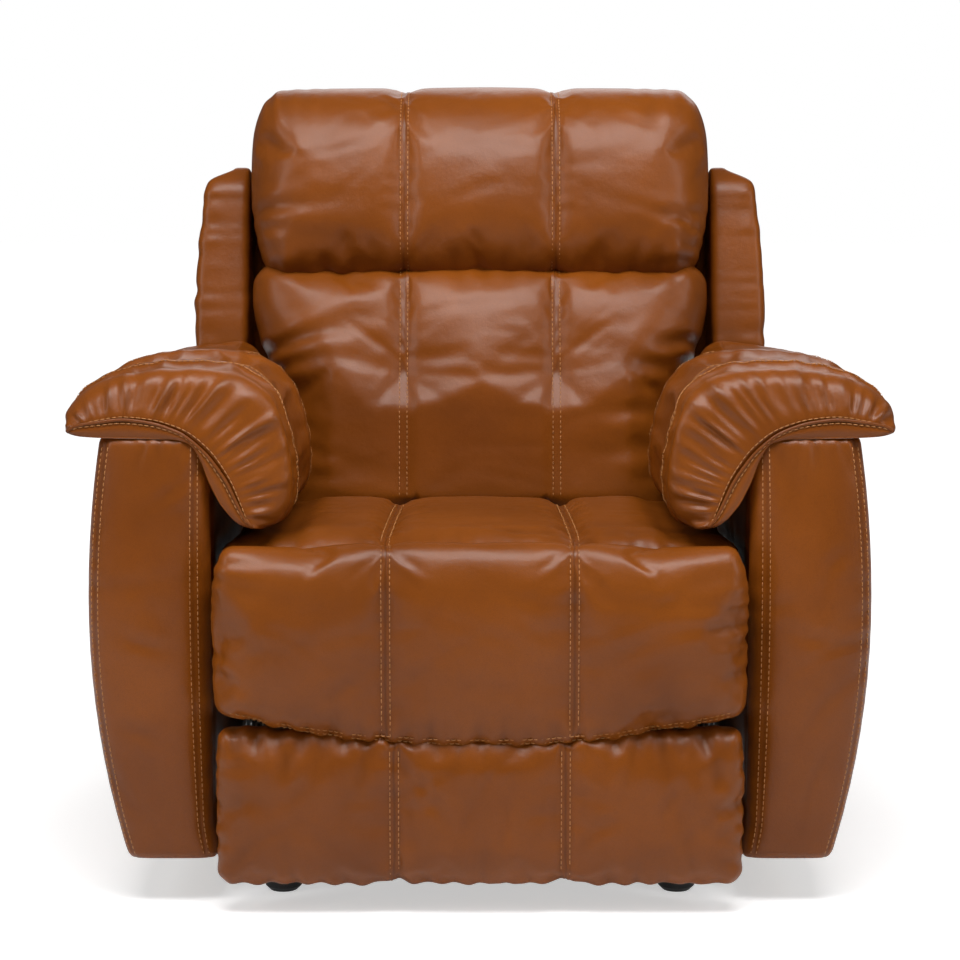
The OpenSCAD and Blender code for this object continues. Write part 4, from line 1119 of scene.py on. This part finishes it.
# ---------------------------------------------------------------- back shell
def wing(side_name):
    side = SIDES[side_name]
    node = "back_wing_" + side_name
    local = back_local(node_points(node)) * np.array([side, 1, 1])
    low, high = local.min(0), local.max(0)
    lobe_x = 0.346
    lobe_u = 0.062
    xs = np.concatenate([steps(low[0], lobe_x, 0.010), steps(lobe_x, high[0], 0.007)[1:]])
    us = np.concatenate([steps(low[1], lobe_u, 0.007), steps(lobe_u, high[1], 0.010)[1:]])
    ws = steps(low[2], high[2], 0.008)
    mid_x, mid_u = (xs[1:] + xs[:-1]) / 2, (us[1:] + us[:-1]) / 2
    filled = np.ones((len(xs) - 1, len(us) - 1, len(ws) - 1), bool)
    filled[(mid_x < lobe_x)[:, None] & (mid_u < lobe_u)[None]] = False
    points, faces = skin(xs, us, ws, filled)
    rise = (points[:, 2] - low[2]) / (high[2] - low[2])
    hold = np.clip((points[:, 1] - 0.10) / 0.03, 0, 1)
    x, u, w = relax(points, faces, 14, hold).T
    taper = 0.018 * rise + 0.034 * smooth((rise - 0.90) / 0.10)
    share = np.clip((x - lobe_x) / (high[0] - lobe_x), 0, 1)
    x = x - taper * share + 0.006 * np.sin(math.pi * np.clip(rise, 0, 1)) * share
    front = smooth((0.03 - u) / 0.06)
    u = u + 0.016 * smooth((rise - 0.85) / 0.15) * front
    w = w - 0.012 * (1 - smooth(rise / 0.12))
    seed = 600 + side
    obj = make_object("back_wing_leather_" + side_name, leaned(np.stack([x * side, u, w], 1)),
                      faces if side > 0 else [f[::-1] for f in faces])
    fold = wrinkles(u, w, seed, 15, (-0.04, 0.16, low[2], high[2]), 0.05, 0.008, 0.0018, 0.6, 0.6)
    tucks = np.linspace(low[2] + 0.02, high[2] - 0.02, 14)
    fold += pleats(w, u - low[1], tucks, 0.0020, 0.03, 0.007, seed + 1)
    edge = np.abs(u - (low[1] + 0.030))
    outside = smooth((x - 0.38) / 0.02)
    depth = fold - 0.0026 * bell(edge, 0.008) - 0.0016 * bell(edge, 0.002)
    push(obj, depth * (1 - hold) * (0.3 + 0.7 * outside))
    # painted shade in the fold valleys and along the stitched edge's groove
    set_shade_and_tone(obj, np.clip(-fold * WING_SHADE, 0, 0.3) + 0.4 * bell(edge, 0.002) * outside)
    subdivide(obj)
    rows = np.arange(low[2] + 0.02, high[2] - 0.012, 0.006)
    hem_stitches("back_wing_thread_" + side_name, obj, [
        leaned([(side * 0.55, low[1] + 0.030 + offset, w) for w in rows])
        for offset in (-0.0045, 0.0045)], (-side, 0, 0), "back")
    settle(obj, "back", node)


# Half width of the shell of the back by height above the pivot, as (height, half width)
OUTLINE = [(-0.060, 0.300), (0.050, 0.304), (0.075, 0.329), (0.330, 0.329), (0.3351, 0.428), (0.540, 0.4225),
           (0.585, 0.414), (0.612, 0.390), (0.622, 0.343), (0.680, 0.341), (0.712, 0.334), (0.732, 0.321),
           (0.744, 0.303)]


def back_half(w):
    table = np.array(OUTLINE)
    return np.interp(w, table[:, 0], table[:, 1])


def outer_back():
    low, high = back_box("outer_back")
    panel_u = high[1]
    thick, seam_x = 0.010, 0.285
    lo = np.array([-1, panel_u - thick, low[2]])
    hi = np.array([1, panel_u + 0.002, high[2] + 0.002])
    rel = np.linspace(-1, 1, 85)
    us = np.linspace(lo[1], hi[1], 3)
    ws = np.array(sorted(set(np.round(steps(lo[2], hi[2], 0.010), 5)) | {0.330, 0.3351}))
    points, faces = skin(rel, us, ws)
    r, u, w = points.T
    half = back_half(w) - 0.001
    x = r * half
    edge = np.minimum(half - np.abs(x), np.minimum(w - lo[2], hi[2] - w))
    out = (u - lo[1]) / (hi[1] - lo[1])
    puff = 0.012 * smooth(edge / 0.10)
    fold = wrinkles(x, w, 700, 22, (-0.35, 0.35, lo[2], hi[2]), 0.10, 0.012, 0.0018, 0.4, 0.7, 2.0)
    fold += pleats(x, hi[2] - w, np.linspace(-0.28, 0.28, 17), 0.002, 0.05, 0.008, 702)
    fold += pleats(x, w - lo[2], np.linspace(-0.28, 0.28, 17), 0.002, 0.05, 0.008, 703)
    seam = np.where(w > 0.02, np.abs(np.abs(x) - seam_x), FAR)
    groove = 0.0035 * bell(seam, 0.010) + 0.0014 * bell(seam, 0.003)
    u = u + (puff + fold - groove) * out - 0.005 * (1 - smooth(edge / 0.007)) * out
    # painted shade in the fold valleys and along the two seam grooves
    obj = make_object("outer_back_leather", leaned(np.stack([x, u, w], 1)), faces,
                      shade_and_tone=np.clip(-fold * PANEL_SHADE, 0, 0.3) + 0.4 * bell(seam, 0.004))
    subdivide(obj)

    def path(side):
        rows = np.arange(0.01, high[2] - 0.01, 0.008)
        return lambda offset: back_rays(*rays([(side * seam_x + offset, panel_u + 0.2, w) for w in rows],
                                              (0, -1, 0)))
    double_stitch("outer_back_thread", obj, "back", [path(1), path(-1)])
    edge_path = [(0.300, panel_u, -0.058)] + [(h - 0.001, panel_u, w) for w, h in OUTLINE[1:]]
    edge_path += [(-x, u, w) for x, u, w in edge_path[::-1]]
    welt("outer_back_piping", leaned(smooth_line(resample(edge_path, 0.006), 3)), 0.0045, "back")
    back_walls(high, panel_u - thick)
    settle(obj, "back", "outer_back")


def back_walls(high, panel_u):
    """The leather band between the outer back and the cushions: sides and top of the shell."""
    path = [(0.343, 0.612)] + [(back_half(w), w) for w in np.arange(0.62, 0.744, 0.006)]
    path += [(0.290, high[2] - 0.001), (0.270, high[2] + 0.001)]
    path += [(-x, w) for x, w in path[::-1]]
    path = np.array([(x, 0, w) for x, w in path])
    path = smooth_line(resample(path, 0.008), 4)
    front_u = 0.004
    depths = np.linspace(panel_u + 0.004, front_u, 14)
    points, faces = [], []
    count = len(path)
    for order, inset in ((1, 0.0), (-1, 0.020)):
        for depth in depths[::order]:
            t = (panel_u - depth) / (panel_u - front_u)
            sink = 0.004 + 0.022 * t * t + inset
            points += [(x * (1 - sink), depth, w - sink * 0.6) for x, _, w in path]
    rings = len(points) // count
    for ring in range(rings):
        n = (ring + 1) % rings
        for i in range(count - 1):
            faces.append([ring * count + i, ring * count + i + 1, n * count + i + 1, n * count + i])
    for end, flip in ((0, False), (count - 1, True)):
        for ring in range(rings // 2 - 1):
            quad = [ring * count + end, (ring + 1) * count + end,
                    (rings - 2 - ring) * count + end, (rings - 1 - ring) * count + end]
            faces.append(quad[::-1] if flip else quad)
    obj = make_object("back_shell_leather", leaned(points), faces)
    subdivide(obj)
    settle(obj, "back", None)


def rear_apron():
    lo, hi = node_box("rear_apron")
    points, faces = skin(steps(lo[0], hi[0], 0.012), np.linspace(lo[1], hi[1], 3),
                         steps(lo[2], hi[2], 0.010))
    x, y, z = points.T
    edge = np.minimum(np.minimum(hi[0] - x, x - lo[0]), np.minimum(hi[2] - z, z - lo[2]))
    out = (y - lo[1]) / (hi[1] - lo[1])
    fold = wrinkles(x, z, 720, 14, (lo[0], hi[0], lo[2], hi[2]), 0.08, 0.010, 0.0016, 0.3, 0.6)
    hem = 0.0014 * bell(z - lo[2] - 0.015, 0.004)
    y = y + out * (0.004 * smooth(edge / 0.05) + fold * smooth(edge / 0.03) - hem
                   - 0.003 * (1 - smooth(edge / 0.006)))
    obj = make_object("rear_apron_leather", np.stack([x, y, z], 1), faces)
    subdivide(obj)
    hem_stitches("rear_apron_thread", obj, [
        [(x, hi[1] + 0.2, lo[2] + height) for x in np.arange(lo[0] + 0.005, hi[0] - 0.004, 0.008)]
        for height in (0.012, 0.018)], (0, -1, 0))
    settle(obj, "base", "rear_apron")


# ---------------------------------------------------------------- studio
FLOOR_BOUNCE = 0.30                      # share of the floor's glow that lights the chair


def studio():
    scene = bpy.context.scene
    ground, tree, shader = node_material("studio_floor")
    place = add(tree, "TexCoord").outputs["Object"]
    far = add(tree, "VectorMath", {"Vector": place}, operation="LENGTH")
    glow = add(tree, "MapRange", {"Value": far.outputs["Value"]}, From_Min=0.6, From_Max=3.0,
               To_Min=0.52, To_Max=1.0)
    seen = tree.nodes.new("ShaderNodeLightPath").outputs["Is Camera Ray"]
    share = add(tree, "MapRange", {"Value": seen}, To_Min=FLOOR_BOUNCE, To_Max=1.0)
    level = add(tree, "Math", {0: glow.outputs[0], 1: share.outputs[0]}, operation="MULTIPLY")
    tree.links.new(level.outputs[0], shader.inputs["Emission Strength"])
    shader.inputs["Emission Color"].default_value = (1, 1, 1, 1)
    shader.inputs["Base Color"].default_value = (0.8, 0.8, 0.8, 1)
    shader.inputs["Roughness"].default_value = 0.9
    shader.inputs["Specular IOR Level"].default_value = 0.1
    mesh = bpy.data.meshes.new("studio_floor")
    reach = 30.0
    mesh.from_pydata([(-reach, -reach, 0), (reach, -reach, 0), (reach, reach, 0), (-reach, reach, 0)],
                     [], [(0, 1, 2, 3)])
    mesh.materials.append(ground)
    floor = bpy.data.objects.new("studio_floor", mesh)
    scene.collection.objects.link(floor)

    world = bpy.data.worlds.new("studio")
    world.use_nodes = True
    tree = world.node_tree
    seen = tree.nodes.new("ShaderNodeLightPath").outputs["Is Camera Ray"]
    level = add(tree, "MapRange", {"Value": seen}, To_Min=0.10, To_Max=1.0)
    tree.nodes["Background"].inputs[0].default_value = (1, 1, 1, 1)
    tree.links.new(level.outputs[0], tree.nodes["Background"].inputs[1])
    scene.world = world

    def area(name, at, aim, size, power):
        light = bpy.data.lights.new(name, "AREA")
        light.shape = "RECTANGLE"
        light.size, light.size_y = size
        light.energy = power
        obj = bpy.data.objects.new(name, light)
        obj.location = at
        obj.rotation_euler = (Vector(aim) - Vector(at)).to_track_quat("-Z", "Y").to_euler()
        scene.collection.objects.link(obj)
    area("overhead", (0, -1.35, 2.8), (0, -0.1, 0.5), (2.4, 1.0), 88)
    area("left", (-2.5, -1.5, 1.9), (0, -0.1, 0.6), (0.7, 1.7), 20)
    area("right", (2.5, -1.5, 1.9), (0, -0.1, 0.6), (0.7, 1.7), 18)
    area("rear", (0.3, 2.6, 2.4), (0, 0, 0.6), (2.6, 1.4), 22)

    camera = bpy.data.cameras.new("camera")
    camera.lens = 93.4
    camera.sensor_width = 36
    obj = bpy.data.objects.new("camera", camera)
    obj.location = (0, -3.53, 0.933)
    obj.rotation_euler = (math.radians(83), 0, 0)
    scene.collection.objects.link(obj)
    scene.camera = obj
    scene.view_settings.view_transform = "Standard"


finish_cad_nodes()
head_pillow()
lumbar_cushion()
seat_cushion()
front_roll()
leg_rest()
for name in SIDES:
    arm_pad(name)
    arm_front(name)
    arm_side(name, "outer")
    arm_side(name, "inner")
    arm_rear(name)
    wing(name)
outer_back()
rear_apron()
studio()
